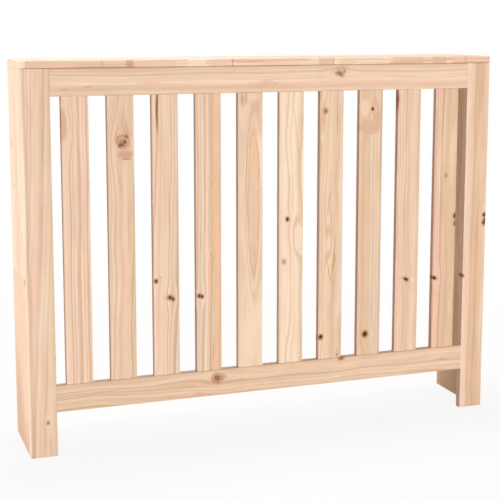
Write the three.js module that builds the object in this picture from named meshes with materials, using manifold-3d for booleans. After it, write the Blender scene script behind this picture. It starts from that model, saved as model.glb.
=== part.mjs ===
// A free-standing radiator cover in solid pine: a slatted front frame, two side panels and a top board,
// open at the back and underneath so that it slides over a radiator that hangs on the wall.
// Millimetres, +Z up. +X runs along the cabinet and +Y towards the wall, so the slatted front faces -Y.
// The origin is on the floor, under the middle of the cabinet.

import * as THREE from 'three';
import { mergeVertices } from 'three/addons/utils/BufferGeometryUtils.js';
import Module from 'manifold-3d';

const wasm = await Module();
wasm.setup();

// ---------------------------------------------------------------- whole cabinet
const overallLength = 1085;
const overallDepth = 190;
const overallHeight = 840;

// ---------------------------------------------------------------- boards
const topThickness = 15;
const sideThickness = 18;
const frameThickness = 18;
const stileWidth = 58;
const topRailHeight = 58;
const bottomRailHeight = 58;
const floorClearance = 96; // from the floor to the bottom rail
const arrisRadius = 2; // every edge that a hand can reach is rounded over by this much
const arrisSteps = 3;
const jointGap = 0.3; // glue line, or the dry joint between two boards

// ---------------------------------------------------------------- slats and their stub tenons
const slatCount = 10;
const slatWidth = 58;
const slatThickness = 14;
const slatEndGap = 21.7; // from a stile to the first slat
const tenonWidth = 40;
const tenonThickness = 8;
const tenonLength = 12;
const mortiseEndRoom = 1; // left for glue at the bottom of a mortise

// ---------------------------------------------------------------- beech dowels
const dowelDiameter = 8;
const dowelChamfer = 1;
const dowelEndRoom = 0.5;
const frameDowelLength = 40; // rail to stile, half in each
const frameDowelSpacing = 30; // the two dowels of one rail end
const shortDowelLength = 30; // side panel to stile, and top board to what carries it
const dowelDepthInStile = 12;
const dowelDepthInTop = 10;
const lowDowelHeight = 110; // side panel dowels, above the floor
const highDowelDrop = 90; // and below the top board
const railDowelSpread = 300; // from the middle of the top rail to its outer dowels

// ---------------------------------------------------------------- cam fittings
const camDiameter = 15;
const camDepth = 13.5;
const camSetback = 24; // from the panel's edge to the middle of the cam
const camSlotLength = 9;
const camSlotWidth = 1.8;
const camSlotDepth = 1.6;
const camHeadRoom = 0.4; // round the bolt's head, inside the cam
const boltHeadDiameter = 7;
const boltHeadLength = 2.6;
const boltNeckDiameter = 4.4;
const boltShankDiameter = 7;
const boltThreadDiameter = 6;
const boltThreadLength = 11;
const boltThreadPitch = 2.6;
const boltThreadDepth = 0.7;
const boltTipDiameter = 2.4;
const lowCamHeight = 200; // cams that hold the stiles, above the floor
const highCamDrop = 180; // and below the top board
const topCamFrontInset = 46; // cams that hold the top board, from the panel's front edge
const topCamRearInset = 36; // and from its rear edge

// ---------------------------------------------------------------- wall brackets
const bracketLeg = 40;
const bracketWidth = 20;
const bracketThickness = 2;
const bracketSlat = 2; // each bracket hangs behind this slat, counted from its end of the cabinet
const bracketScrewFirst = 14; // from the bend to the screws that hold the top board
const bracketScrewSecond = 30;
const wallHoleDrop = 26; // from the bend to the hole for the wall screw
const screwHoleDiameter = 5;
const screwDiameter = 3.6;
const screwLength = 12;
const screwHeadDiameter = 8;
const screwHeadHeight = 2.4;
const screwHeadRound = 1.2;
const screwTipLength = 3.6;
const screwRecessLength = 4.4;
const screwRecessWidth = 0.9;
const screwRecessDepth = 1.4;

// ---------------------------------------------------------------- clearances and facets
const boreClearance = 0.3; // round dowels, cams, bolts and screws
const boreSides = 16;
const turnedSides = 12;
const cutterReach = 1; // how far a cutter runs past the face that it enters

// ---------------------------------------------------------------- planes that the boards share
const endX = overallLength / 2;
const openingX = endX - stileWidth;
const panelInsideX = endX - sideThickness;
const panelMiddleX = endX - sideThickness / 2;
const frontY = -overallDepth / 2;
const rearY = overallDepth / 2;
const frameBackY = frontY + frameThickness;
const frameMiddleY = frontY + frameThickness / 2;
const panelFrontY = frameBackY + jointGap;
const topUndersideZ = overallHeight - topThickness;
const carcaseTopZ = topUndersideZ - jointGap;
const topRailLowZ = topUndersideZ - topRailHeight;
const bottomRailTopZ = floorClearance + bottomRailHeight;
const slatPitch = (2 * openingX - 2 * slatEndGap - slatWidth) / (slatCount - 1);
const firstSlatX = -openingX + slatEndGap + slatWidth / 2;
const dowelRadius = dowelDiameter / 2;
const dowelBore = dowelRadius + boreClearance;

// ---------------------------------------------------------------- materials
const pine = (color) => new THREE.MeshStandardMaterial({ color, roughness: 0.55, metalness: 0 });
const framePine = pine(0xe8c8a6);
const slatPine = [pine(0xebcdae), pine(0xe5c3a0), pine(0xefd3b8)];
const panelPine = pine(0xf2d9bd);
const topPine = pine(0xf0d6b6);
const beech = new THREE.MeshStandardMaterial({ color: 0xcfa67c, roughness: 0.6, metalness: 0 });
const dieCastZinc = new THREE.MeshStandardMaterial({ color: 0xa9abad, roughness: 0.45, metalness: 1 });
const platedSteel = new THREE.MeshStandardMaterial({ color: 0xc3c4c1, roughness: 0.3, metalness: 1 });

// ---------------------------------------------------------------- solids
/** Turns a closed three.js geometry into a solid that can be joined and cut. */
function solidOf(geometry) {
  geometry.deleteAttribute('normal');
  geometry.deleteAttribute('uv');
  const merged = mergeVertices(geometry, 1e-5);
  const corners = merged.index.array;
  const kept = [];
  for (let i = 0; i < corners.length; i += 3) {
    const [a, b, c] = corners.slice(i, i + 3);
    if (a !== b && b !== c && c !== a) kept.push(a, b, c);
  }
  return new wasm.Manifold(new wasm.Mesh({
    numProp: 3,
    vertProperties: new Float32Array(merged.attributes.position.array),
    triVerts: new Uint32Array(kept),
  }));
}

/** A square-edged block between two opposite corners. */
function block(low, high) {
  const geometry = new THREE.BoxGeometry(...high.map((value, i) => value - low[i]));
  geometry.translate(...high.map((value, i) => (value + low[i]) / 2));
  return solidOf(geometry);
}

/** A turned piece. Its profile is [radius, distance] pairs along the line from start towards end. */
function turned(profile, start, end, sides) {
  const points = profile.map(([radius, distance]) => new THREE.Vector2(radius, distance));
  const geometry = new THREE.LatheGeometry(points, sides);
  const along = new THREE.Vector3().subVectors(end, start).normalize();
  geometry.applyQuaternion(new THREE.Quaternion().setFromUnitVectors(new THREE.Vector3(0, 1, 0), along));
  geometry.translate(start.x, start.y, start.z);
  return solidOf(geometry);
}

/** A plain round bar, used for the bores. */
function bar(radius, start, end) {
  const length = start.distanceTo(end);
  return turned([[0, 0], [radius, 0], [radius, length], [0, length]], start, end, boreSides);
}

/** What a round-over cutter takes off one arris: a square corner less a quarter circle, along one axis. */
function roundOver(axis, corner, inward, from, to) {
  const shape = new THREE.Shape();
  shape.moveTo(arrisRadius, -cutterReach);
  shape.lineTo(-cutterReach, -cutterReach);
  shape.lineTo(-cutterReach, arrisRadius);
  shape.lineTo(0, arrisRadius);
  for (let step = 1; step <= arrisSteps; step++) {
    const angle = (step / arrisSteps) * (Math.PI / 2);
    shape.lineTo(arrisRadius * (1 - Math.cos(angle)), arrisRadius * (1 - Math.sin(angle)));
  }
  const geometry = new THREE.ExtrudeGeometry(shape, { depth: to - from, bevelEnabled: false });
  const places = geometry.attributes.position;
  const [first, second] = [0, 1, 2].filter((i) => i !== axis);
  for (let i = 0; i < places.count; i++) {
    const place = [0, 0, 0];
    place[first] = corner[0] + inward[0] * places.getX(i);
    place[second] = corner[1] + inward[1] * places.getY(i);
    place[axis] = from + places.getZ(i);
    places.setXYZ(i, ...place);
  }
  const mirrored = inward[0] * inward[1] < 0;
  if (mirrored !== (axis === 1)) reverseFaces(geometry);
  return solidOf(geometry);
}

/** Turns a geometry's faces round, after its points were mirrored. */
function reverseFaces(geometry) {
  const places = geometry.attributes.position;
  for (let i = 0; i < places.count; i += 3) {
    const [second, third] = [1, 2].map((k) => new THREE.Vector3().fromBufferAttribute(places, i + k));
    places.setXYZ(i + 1, ...third.toArray());
    places.setXYZ(i + 2, ...second.toArray());
  }
}

/**
 * A board between two corners with some arrises rounded over. Each entry of eased is
 * [axis, side, side, from, to]: the arris along that axis at the low (-1) or high (1) side of the other
 * two axes. Without from and to it is rounded over its whole length.
 */
function board(low, high, eased) {
  let solid = block(low, high);
  for (const [axis, firstSide, secondSide, from, to] of eased) {
    const others = [0, 1, 2].filter((i) => i !== axis);
    const sides = [firstSide, secondSide];
    const corner = others.map((i, k) => (sides[k] < 0 ? low[i] : high[i]));
    const inward = sides.map((side) => -side);
    const start = from ?? low[axis] - cutterReach;
    const end = to ?? high[axis] + cutterReach;
    solid = solid.subtract(roundOver(axis, corner, inward, start, end));
  }
  return solid;
}

const bothSides = [-1, 1];
const alongAll = [0, 1, 2];
const everyArris = alongAll.flatMap((axis) => bothSides.flatMap((a) => bothSides.map((b) => [axis, a, b])));

/** A solid as a named mesh of the cabinet. */
function piece(name, solid, material) {
  const made = solid.getMesh();
  const geometry = new THREE.BufferGeometry();
  geometry.setAttribute('position', new THREE.BufferAttribute(new Float32Array(made.vertProperties), 3));
  geometry.setIndex(new THREE.BufferAttribute(new Uint32Array(made.triVerts), 1));
  geometry.computeVertexNormals();
  const mesh = new THREE.Mesh(geometry, material);
  mesh.name = name;
  return mesh;
}

const point = (x, y, z) => new THREE.Vector3(x, y, z);
const cabinet = new THREE.Group();
const sides = { left: -1, right: 1 };

// ---------------------------------------------------------------- where the fittings go
const rails = {
  top: { low: topRailLowZ, high: carcaseTopZ },
  bottom: { low: floorClearance, high: bottomRailTopZ },
};

const slats = Array.from({ length: slatCount }, (_, i) => ({
  name: `slat_${String(i + 1).padStart(2, '0')}`,
  x: firstSlatX + i * slatPitch,
}));

/** The bores of each board, by the board's name, each a solid that is taken out of it. */
const bores = {};
function addBore(solid, ...boards) {
  for (const name of boards) (bores[name] ??= []).push(solid);
}
function bored(name, solid) {
  return (bores[name] ?? []).reduce((left, bore) => left.subtract(bore), solid);
}

/** A dowel from start to end, and the bores that it needs in the two boards that it joins. */
const dowels = [];
function addDowel(name, start, end, boards) {
  const reach = point(0, 0, 0).subVectors(end, start).setLength(dowelEndRoom);
  addBore(bar(dowelBore, start.clone().sub(reach), end.clone().add(reach)), ...boards);
  dowels.push({ name, start, end });
}
for (const [sideName, side] of Object.entries(sides)) {
  for (const [railName, rail] of Object.entries(rails)) {
    const middle = (rail.low + rail.high) / 2;
    for (const [place, step] of [['lower', -0.5], ['upper', 0.5]]) {
      const z = middle + step * frameDowelSpacing;
      const inner = point(side * (openingX - frameDowelLength / 2), frameMiddleY, z);
      const outer = point(side * (openingX + frameDowelLength / 2), frameMiddleY, z);
      const boards = [`${railName}_rail`, `${sideName}_stile`];
      addDowel(`${railName}_rail_dowel_${sideName}_${place}`, inner, outer, boards);
    }
  }
  for (const [place, z] of [['low', lowDowelHeight], ['high', topUndersideZ - highDowelDrop]]) {
    const start = frameBackY - dowelDepthInStile;
    const front = point(side * panelMiddleX, start, z);
    const back = point(side * panelMiddleX, start + shortDowelLength, z);
    addDowel(`side_dowel_${sideName}_${place}`, front, back, [`${sideName}_stile`, `${sideName}_side_panel`]);
  }
}
const topDowelHighZ = topUndersideZ + dowelDepthInTop;
function addTopDowel(name, x, y, board) {
  const low = point(x, y, topDowelHighZ - shortDowelLength);
  addDowel(name, low, point(x, y, topDowelHighZ), ['top_board', board]);
}
const topDowelY = (panelFrontY + topCamFrontInset + rearY - topCamRearInset) / 2;
for (const [sideName, side] of Object.entries(sides)) {
  addTopDowel(`top_dowel_${sideName}`, side * panelMiddleX, topDowelY, `${sideName}_side_panel`);
}
for (const [place, x] of [['left', -railDowelSpread], ['middle', 0], ['right', railDowelSpread]]) {
  addTopDowel(`rail_to_top_dowel_${place}`, x, frameMiddleY, 'top_rail');
}

/** A cam in a side panel, and its bolt, which points towards the board that it is driven into. */
const cams = [];
const boltReach = camSetback + jointGap; // from the cam's middle to that board
function addCam(name, side, y, z, towards, panel, board) {
  const outward = point(side, 0, 0);
  const centre = point(side * panelInsideX, y, z);
  const mouth = centre.clone().addScaledVector(outward, -cutterReach);
  const floor = centre.clone().addScaledVector(outward, camDepth + boreClearance);
  const axis = point(side * panelMiddleX, y, z);
  const seat = axis.clone().addScaledVector(towards, boltReach);
  const beyond = seat.clone().addScaledVector(towards, boltThreadLength + boreClearance);
  addBore(bar(camDiameter / 2 + boreClearance, mouth, floor), panel);
  addBore(bar(boltShankDiameter / 2 + boreClearance, axis, seat), panel);
  addBore(bar(boltThreadDiameter / 2 + boreClearance, axis, beyond), board);
  cams.push({ name, outward, centre, axis, towards });
}
for (const [sideName, side] of Object.entries(sides)) {
  const panel = `${sideName}_side_panel`;
  for (const [place, z] of [['low', lowCamHeight], ['high', topUndersideZ - highCamDrop]]) {
    const name = `stile_${sideName}_${place}`;
    addCam(name, side, panelFrontY + camSetback, z, point(0, -1, 0), panel, `${sideName}_stile`);
  }
  for (const [place, y] of [['front', panelFrontY + topCamFrontInset], ['rear', rearY - topCamRearInset]]) {
    const name = `top_${sideName}_${place}`;
    addCam(name, side, y, carcaseTopZ - camSetback, point(0, 0, 1), panel, 'top_board');
  }
}

/** The wall brackets under the rear edge of the top board, each with two screws. */
const bracketSeatZ = carcaseTopZ - bracketThickness;
const screwHeadTopZ = bracketSeatZ - boreClearance;
const brackets = Object.entries(sides).map(([name, side]) => {
  const x = -side * slats[bracketSlat - 1].x;
  const insets = [['rear', bracketScrewFirst], ['front', bracketScrewSecond]];
  const screws = insets.map(([place, inset]) => ({
    name: `bracket_screw_${name}_${place}`,
    head: point(x, rearY - inset, screwHeadTopZ),
    tip: point(x, rearY - inset, screwHeadTopZ + screwLength),
  }));
  return { name, x, screws };
});
for (const { head, tip } of brackets.flatMap((bracket) => bracket.screws)) {
  const beyond = tip.clone().setZ(tip.z + boreClearance);
  addBore(bar(screwDiameter / 2 + boreClearance, head, beyond), 'top_board');
}

// ---------------------------------------------------------------- top board
const topBoard = board([-endX, frontY, topUndersideZ], [endX, rearY, overallHeight], everyArris);
cabinet.add(piece('top_board', bored('top_board', topBoard), topPine));

// ---------------------------------------------------------------- side panels
for (const [sideName, side] of Object.entries(sides)) {
  const name = `${sideName}_side_panel`;
  const x = [side * panelInsideX, side * endX].sort((a, b) => a - b);
  const panel = board([x[0], panelFrontY, 0], [x[1], rearY, carcaseTopZ], everyArris);
  cabinet.add(piece(name, bored(name, panel), panelPine));
}

// ---------------------------------------------------------------- front frame: stiles and rails
/** The arrises of a stile next to the two openings, which stop where a rail meets it. */
function openingArrises(side) {
  const spans = [[-cutterReach, floorClearance], [bottomRailTopZ, topRailLowZ]];
  return bothSides.flatMap((faceSide) => spans.map((span) => [2, -side, faceSide, ...span]));
}
for (const [sideName, side] of Object.entries(sides)) {
  const x = [side * openingX, side * endX].sort((a, b) => a - b);
  const outer = bothSides.map((faceSide) => [2, side, faceSide]);
  const ends = everyArris.filter(([axis]) => axis === 0);
  const eased = [...outer, ...ends, [1, side, -1], [1, side, 1], ...openingArrises(side)];
  const stile = board([x[0], frontY, 0], [x[1], frameBackY, carcaseTopZ], eased);
  cabinet.add(piece(`${sideName}_stile`, bored(`${sideName}_stile`, stile), framePine));
}

const tenonFrontY = frameMiddleY - tenonThickness / 2;
const tenonBackY = frameMiddleY + tenonThickness / 2;
const mortiseDepth = tenonLength + mortiseEndRoom;
for (const [railName, rail] of Object.entries(rails)) {
  const x = openingX - jointGap;
  const eased = everyArris.filter(([axis]) => axis === 0);
  let solid = board([-x, frontY, rail.low], [x, frameBackY, rail.high], eased);
  const inside = railName === 'top' ? rail.low : rail.high;
  const into = railName === 'top' ? 1 : -1;
  for (const slat of slats) {
    const z = [inside - into * cutterReach, inside + into * mortiseDepth].sort((a, b) => a - b);
    const halfWidth = tenonWidth / 2 + jointGap;
    const low = [slat.x - halfWidth, tenonFrontY - jointGap, z[0]];
    solid = solid.subtract(block(low, [slat.x + halfWidth, tenonBackY + jointGap, z[1]]));
  }
  cabinet.add(piece(`${railName}_rail`, bored(`${railName}_rail`, solid), framePine));
}

// ---------------------------------------------------------------- slats
const slatFrontY = frameMiddleY - slatThickness / 2;
const slatBackY = frameMiddleY + slatThickness / 2;
const shoulderLowZ = bottomRailTopZ + jointGap;
const shoulderHighZ = topRailLowZ - jointGap;
slats.forEach((slat, i) => {
  const eased = everyArris.filter(([axis]) => axis === 2);
  const left = slat.x - slatWidth / 2;
  const right = slat.x + slatWidth / 2;
  const blade = board([left, slatFrontY, shoulderLowZ], [right, slatBackY, shoulderHighZ], eased);
  const tenonLeft = slat.x - tenonWidth / 2;
  const tenonRight = slat.x + tenonWidth / 2;
  const low = [tenonLeft, tenonFrontY, shoulderLowZ - tenonLength];
  const solid = blade.add(block(low, [tenonRight, tenonBackY, shoulderHighZ + tenonLength]));
  cabinet.add(piece(slat.name, solid, slatPine[i % slatPine.length]));
});

// ---------------------------------------------------------------- dowels
for (const dowel of dowels) {
  const length = dowel.start.distanceTo(dowel.end);
  const thin = dowelRadius - dowelChamfer;
  const profile = [[0, 0], [thin, 0], [dowelRadius, dowelChamfer]];
  profile.push([dowelRadius, length - dowelChamfer], [thin, length], [0, length]);
  cabinet.add(piece(dowel.name, turned(profile, dowel.start, dowel.end, turnedSides), beech));
}

// ---------------------------------------------------------------- cams and their bolts
/** A block that reaches from a point by given half sizes. */
function blockAround(centre, halfX, halfY, halfZ) {
  const half = [halfX, halfY, halfZ];
  const middle = centre.toArray();
  return block(middle.map((m, i) => m - half[i]), middle.map((m, i) => m + half[i]));
}
for (const { name, outward, centre, axis, towards } of cams) {
  const radius = camDiameter / 2;
  let solid = bar(radius, centre, centre.clone().addScaledVector(outward, camDepth));
  for (const [y, z] of [[camSlotLength, camSlotWidth], [camSlotWidth, camSlotLength]]) {
    solid = solid.subtract(blockAround(centre, camSlotDepth, y / 2, z / 2));
  }
  // The chamber that grips the bolt's head, its neck's way out, and the wide mouth that let the head in.
  const headRoom = boltHeadDiameter / 2 + camHeadRoom;
  const neckRoom = boltNeckDiameter / 2 + camHeadRoom;
  const sideways = new THREE.Vector3().crossVectors(outward, towards);
  solid = solid.subtract(blockAround(axis, headRoom, headRoom, headRoom));
  for (const [way, room] of [[towards, neckRoom], [sideways, headRoom]]) {
    const reach = radius / 2 + cutterReach;
    const half = way.toArray().map((part) => Math.max(Math.abs(part) * reach, room));
    solid = solid.subtract(blockAround(axis.clone().addScaledVector(way, reach), ...half));
  }
  cabinet.add(piece(`cam_${name}`, solid, dieCastZinc));

  // The bolt, measured along its length from the far side of its head.
  const [head, neck, shank] = [boltHeadDiameter, boltNeckDiameter, boltShankDiameter].map((d) => d / 2);
  const crest = boltThreadDiameter / 2;
  const root = crest - boltThreadDepth;
  const middle = boltHeadLength / 2;
  const shankStart = middle + radius + boreClearance;
  const shankEnd = middle + boltReach - boreClearance;
  const threadStart = middle + boltReach;
  const tip = threadStart + boltThreadLength;
  const profile = [[0, 0], [head, 0], [head, boltHeadLength], [neck, boltHeadLength], [neck, shankStart]];
  profile.push([shank, shankStart], [shank, shankEnd], [root, shankEnd]);
  const turns = Math.floor(boltThreadLength / boltThreadPitch) - 1;
  for (let turn = 0; turn < turns; turn++) {
    const foot = threadStart + turn * boltThreadPitch;
    profile.push([root, foot], [crest, foot + boltThreadPitch / 2]);
  }
  profile.push([root, threadStart + turns * boltThreadPitch], [boltTipDiameter / 2, tip], [0, tip]);
  const start = axis.clone().addScaledVector(towards, -middle);
  const bolt = turned(profile, start, start.clone().add(towards), turnedSides);
  cabinet.add(piece(`cam_bolt_${name}`, bolt, platedSteel));
}

// ---------------------------------------------------------------- wall brackets and their screws
for (const { name, x, screws } of brackets) {
  const left = x - bracketWidth / 2;
  const right = x + bracketWidth / 2;
  let solid = block([left, rearY - bracketLeg, bracketSeatZ], [right, rearY, carcaseTopZ]);
  const wallLegLow = [left, rearY - bracketThickness, carcaseTopZ - bracketLeg];
  solid = solid.add(block(wallLegLow, [right, rearY, carcaseTopZ]));
  const holeRadius = screwHoleDiameter / 2;
  for (const { head, tip } of screws) solid = solid.subtract(bar(holeRadius, head, tip));
  const wallHole = point(x, rearY - bracketThickness - cutterReach, carcaseTopZ - wallHoleDrop);
  const beyondWallHole = wallHole.clone().setY(rearY + cutterReach);
  solid = solid.subtract(bar(holeRadius, wallHole, beyondWallHole));
  cabinet.add(piece(`wall_bracket_${name}`, solid, platedSteel));

  for (const screw of screws) {
    const head = screwHeadDiameter / 2;
    const core = screwDiameter / 2;
    const low = screw.head.clone().setZ(screw.head.z - screwHeadHeight);
    const length = screwHeadHeight + screwLength;
    const profile = [[0, 0], [head - screwHeadRound, 0], [head, screwHeadRound], [head, screwHeadHeight]];
    profile.push([core, screwHeadHeight], [core, length - screwTipLength], [0, length]);
    let solidScrew = turned(profile, low, screw.tip, turnedSides);
    for (const [sizeX, sizeY] of [[screwRecessLength, screwRecessWidth], [screwRecessWidth, screwRecessLength]]) {
      solidScrew = solidScrew.subtract(blockAround(low, sizeX / 2, sizeY / 2, screwRecessDepth));
    }
    cabinet.add(piece(screw.name, solidScrew, platedSteel));
  }
}

export default cabinet;
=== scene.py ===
# %% [markdown]
# # A slatted radiator cover in solid pine
# The cabinet is a front frame of two stiles and two rails with ten slats between them, two side panels
# and a top board. It stands over a radiator, so its back and its underside are open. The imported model
# gives every size and place; this lesson makes the boards' softened edges and the look of planed pine.

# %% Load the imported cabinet
import math
import bmesh
import bpy
from mathutils import Matrix, Vector


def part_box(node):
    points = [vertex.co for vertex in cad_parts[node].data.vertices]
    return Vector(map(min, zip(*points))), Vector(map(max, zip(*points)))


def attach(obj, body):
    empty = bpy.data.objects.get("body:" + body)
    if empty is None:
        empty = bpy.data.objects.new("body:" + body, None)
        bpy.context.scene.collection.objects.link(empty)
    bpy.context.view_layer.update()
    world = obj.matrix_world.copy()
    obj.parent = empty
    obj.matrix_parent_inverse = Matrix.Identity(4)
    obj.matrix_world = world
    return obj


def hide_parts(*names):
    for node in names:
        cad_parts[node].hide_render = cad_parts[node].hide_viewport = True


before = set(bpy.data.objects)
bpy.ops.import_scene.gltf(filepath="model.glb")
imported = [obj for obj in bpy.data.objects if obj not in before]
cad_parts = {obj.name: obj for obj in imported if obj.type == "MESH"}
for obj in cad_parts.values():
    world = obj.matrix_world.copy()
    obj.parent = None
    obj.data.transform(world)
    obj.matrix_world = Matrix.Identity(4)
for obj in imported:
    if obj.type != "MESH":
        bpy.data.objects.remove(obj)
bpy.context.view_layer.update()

# %% [markdown]
# ## One helper for every node
# Materials and geometry trees are both made of nodes. One function is enough for all of them: it adds a
# node, sets its settings, and fills each of its inputs with a value or with a link from another node.

# %% The node helper
mm = 0.001


def add(tree, kind, inputs=None, stops=(), **settings):
    """Adds a node. An input is a value, another node, whose first output is used, or one output of it.
    stops are the (place, colour) pairs of a colour ramp."""
    made = tree.nodes.new(kind)
    for name, value in settings.items():
        setattr(made, name, value)
    if stops:
        points = made.color_ramp.elements
        points[0].position, points[0].color = stops[0]
        points[-1].position, points[-1].color = stops[-1]
        for place, colour in stops[1:-1]:
            points.new(place).color = colour
    for key, value in (inputs or {}).items():
        if isinstance(value, bpy.types.Node):
            value = value.outputs[0]
        if isinstance(value, bpy.types.NodeSocket):
            tree.links.new(value, made.inputs[key])
        else:
            made.inputs[key].default_value = value
    return made


def blank_material(name):
    """A new material whose node tree is still empty."""
    material = bpy.data.materials.new(name)
    material.use_nodes = True
    material.node_tree.nodes.clear()
    return material


def linear(hex_colour, alpha=1.0):
    """The linear colour, with its alpha, of an sRGB hex value such as #E8C8A6."""
    channels = [int(hex_colour[i : i + 2], 16) / 255 for i in (1, 3, 5)]
    light = [c / 12.92 if c <= 0.04045 else ((c + 0.055) / 1.055) ** 2.4 for c in channels]
    return (*light, alpha)


print("mid grey #808080 is", round(linear("#808080")[0], 3), "in linear light")

# %% [markdown]
# ## The camera
# The viewpoint is a little above the top board and well to the left of the cabinet, so the near end
# shows its side panel. Most of the downward look is the camera's own tilt, and a small vertical shift
# keeps the uprights nearly parallel, as a view camera would.

# %% Place the camera
camera_data = bpy.data.cameras.new("viewpoint")
camera_data.sensor_width = 36.0
camera_data.lens = 85.75
camera_data.shift_y = -0.12
camera = bpy.data.objects.new("viewpoint", camera_data)
camera.location = (-0.9128, -2.5335, 0.9198)
camera_pitch = math.radians(8.055)
camera_turn = math.radians(19.49)
camera.rotation_euler = (math.pi / 2 - camera_pitch, 0.0, -camera_turn)
bpy.context.scene.collection.objects.link(camera)
bpy.context.scene.camera = camera
bpy.context.scene.view_settings.view_transform = "Standard"
print("the camera stands", round(camera.location.length, 2), "m from the cabinet's foot")

# %% [markdown]
# ## Floor and background
# The cabinet stands on a pale floor in front of white. Light that bounces meets an ordinary matt grey,
# which keeps the boards' shaded sides warm and deep. The camera, and anything glossy, sees the same
# floor nearly white, with a faint, soft shadow that fades out with distance from the cabinet, so that
# the floor has no far edge.

# %% Make the floor
floor_reach = 9.0
floor_mesh = bpy.data.meshes.new("studio_floor")
corner_signs = ((-1, -1), (1, -1), (1, 1), (-1, 1))
floor_corners = [(x * floor_reach, y * floor_reach, 0.0) for x, y in corner_signs]
floor_mesh.from_pydata(floor_corners, [], [(0, 1, 2, 3)])
floor = bpy.data.objects.new("studio_floor", floor_mesh)
bpy.context.scene.collection.objects.link(floor)


def seen_directly(tree):
    """1 where the camera looks, even by way of a glossy or a clear surface, and 0 for spread light."""
    rays = add(tree, "ShaderNodeLightPath").outputs
    seen = add(tree, "ShaderNodeMath", {0: rays["Is Camera Ray"], 1: rays["Is Glossy Ray"]})
    return add(tree, "ShaderNodeMath", {0: seen, 1: rays["Is Transmission Ray"]}, use_clamp=True)


floor_paint = blank_material("matt_white_studio_floor")
tree = floor_paint.node_tree
seen = seen_directly(tree)
greys = {"Factor": seen, 6: linear("#C9C7C4"), 7: linear("#F6F5F3")}
greys = add(tree, "ShaderNodeMix", greys, data_type="RGBA").outputs[2]
matt = add(tree, "ShaderNodeBsdfDiffuse", {"Color": greys})
glow = add(tree, "ShaderNodeEmission", {"Color": (1.0, 1.0, 1.0, 1.0), "Strength": 1.0})
place = add(tree, "ShaderNodeTexCoord").outputs["Object"]
away = add(tree, "ShaderNodeVectorMath", {0: place}, operation="LENGTH").outputs["Value"]
white_from = 0.7
all_white_at = 1.6
least_white = 0.85
fade = {"Value": away, "From Min": white_from, "From Max": all_white_at, "To Min": least_white}
fade = add(tree, "ShaderNodeMapRange", fade)
share = add(tree, "ShaderNodeMath", {0: seen, 1: fade}, operation="MULTIPLY")
mixed = add(tree, "ShaderNodeMixShader", {"Fac": share, 1: matt, 2: glow})
add(tree, "ShaderNodeOutputMaterial", {"Surface": mixed})
floor_mesh.materials.append(floor_paint)
print("the floor is", 2 * floor_reach, "m square and all white from", all_white_at, "m outwards")

# %% [markdown]
# ## Light
# A low soft light in front carries the picture, and a small one above it draws the fine shadow under
# the top rail and the top board. A narrow one square to the left end makes the side panel a pale face:
# the panel itself keeps that light off the inside, so the slats' left edges stay in a warm shade. A
# strip above lights the top board. Two weaker lights to the right and at the rear light the sides that
# face away from the camera.

# %% Light the room and the cabinet
room = bpy.data.worlds.new("white_studio")
room.use_nodes = True
tree = room.node_tree
tree.nodes.clear()
room_light = 0.32
strength = {"Value": seen_directly(tree), "To Min": room_light, "To Max": 1.0}
strength = add(tree, "ShaderNodeMapRange", strength)
sky = add(tree, "ShaderNodeBackground", {"Color": (1.0, 1.0, 1.0, 1.0), "Strength": strength})
add(tree, "ShaderNodeOutputWorld", {"Surface": sky})
bpy.context.scene.world = room


def soft_light(name, place, towards, width, height, power):
    """A rectangular soft box of that size and power, in metres and watts, turned towards a point."""
    data = bpy.data.lights.new(name, "AREA")
    data.shape = "RECTANGLE"
    data.size = width
    data.size_y = height
    data.energy = power
    lamp = bpy.data.objects.new(name, data)
    lamp.location = place
    lamp.rotation_euler = (Vector(towards) - Vector(place)).to_track_quat("-Z", "Y").to_euler()
    bpy.context.scene.collection.objects.link(lamp)


cabinet_middle = (0.0, 0.0, 0.42)
top_middle = (0.0, 0.0, 0.84)
soft_light("low_front_soft_box", (0.9, -5.0, 0.3), cabinet_middle, width=1.4, height=0.6, power=152.0)
soft_light("high_front_soft_box", (0.3, -3.2, 3.0), cabinet_middle, width=1.2, height=0.5, power=12.0)
soft_light("left_strip", (-2.7, 0.05, 0.7), cabinet_middle, width=0.3, height=1.2, power=35.0)
soft_light("right_strip", (2.7, 0.35, 0.7), cabinet_middle, width=0.3, height=1.2, power=18.0)
soft_light("rear_soft_box", (0.4, 4.2, 0.9), cabinet_middle, width=1.4, height=0.6, power=60.0)
soft_light("overhead_strip", (0.0, 0.3, 2.3), top_middle, width=1.6, height=0.5, power=24.5)

# %% [markdown]
# ## Pine, from the inside out
# A board is a slice through a log. Each year the tree adds a layer, pale in spring and darker and
# harder in late summer, so the colour at a point depends on its distance from the pith at the log's
# middle. The material measures that distance in millimetres for every point of the board. The same
# rings then come out as lines on the face, as closer lines on the edge, and as arcs on the end.
# A branch pushes the layers outwards, so near a knot the distance is bent too, and the lines flow
# round the knot as they do in real wood.

# %% Tones of planed pine
tones = {
    "cream": "#F5DCC1",
    "shell": "#F4D3BD",
    "sand": "#ECCDB2",
    "rose": "#EBC3AC",
    "apricot": "#EBC09E",
    "straw": "#E8CCA8",
    "tan": "#DFBD9D",
    "clay": "#DAB294",
    "oatmeal": "#E5CDB7",
    "resin": "#AC744A",
    "bark": "#6B3A12",
    "knot heart": "#3A1600",
}
print(len(tones), "tones, from", min(tones.values()), "to", max(tones.values()))


# %% Where a point lies in its board
def board_place(tree, origin, across, depth, along):
    """Millimetres across a board's face, into its thickness and along its grain, from its origin."""
    place = add(tree, "ShaderNodeTexCoord").outputs["Object"]
    start = [-value / mm for value in origin]
    moved = add(tree, "ShaderNodeMapping", {"Vector": place, "Location": start, "Scale": (1 / mm,) * 3})
    parts = add(tree, "ShaderNodeSeparateXYZ", {0: moved})
    ways = [parts.outputs[way] for way in (across, depth, along)]
    return add(tree, "ShaderNodeCombineXYZ", dict(enumerate(ways)))


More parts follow.
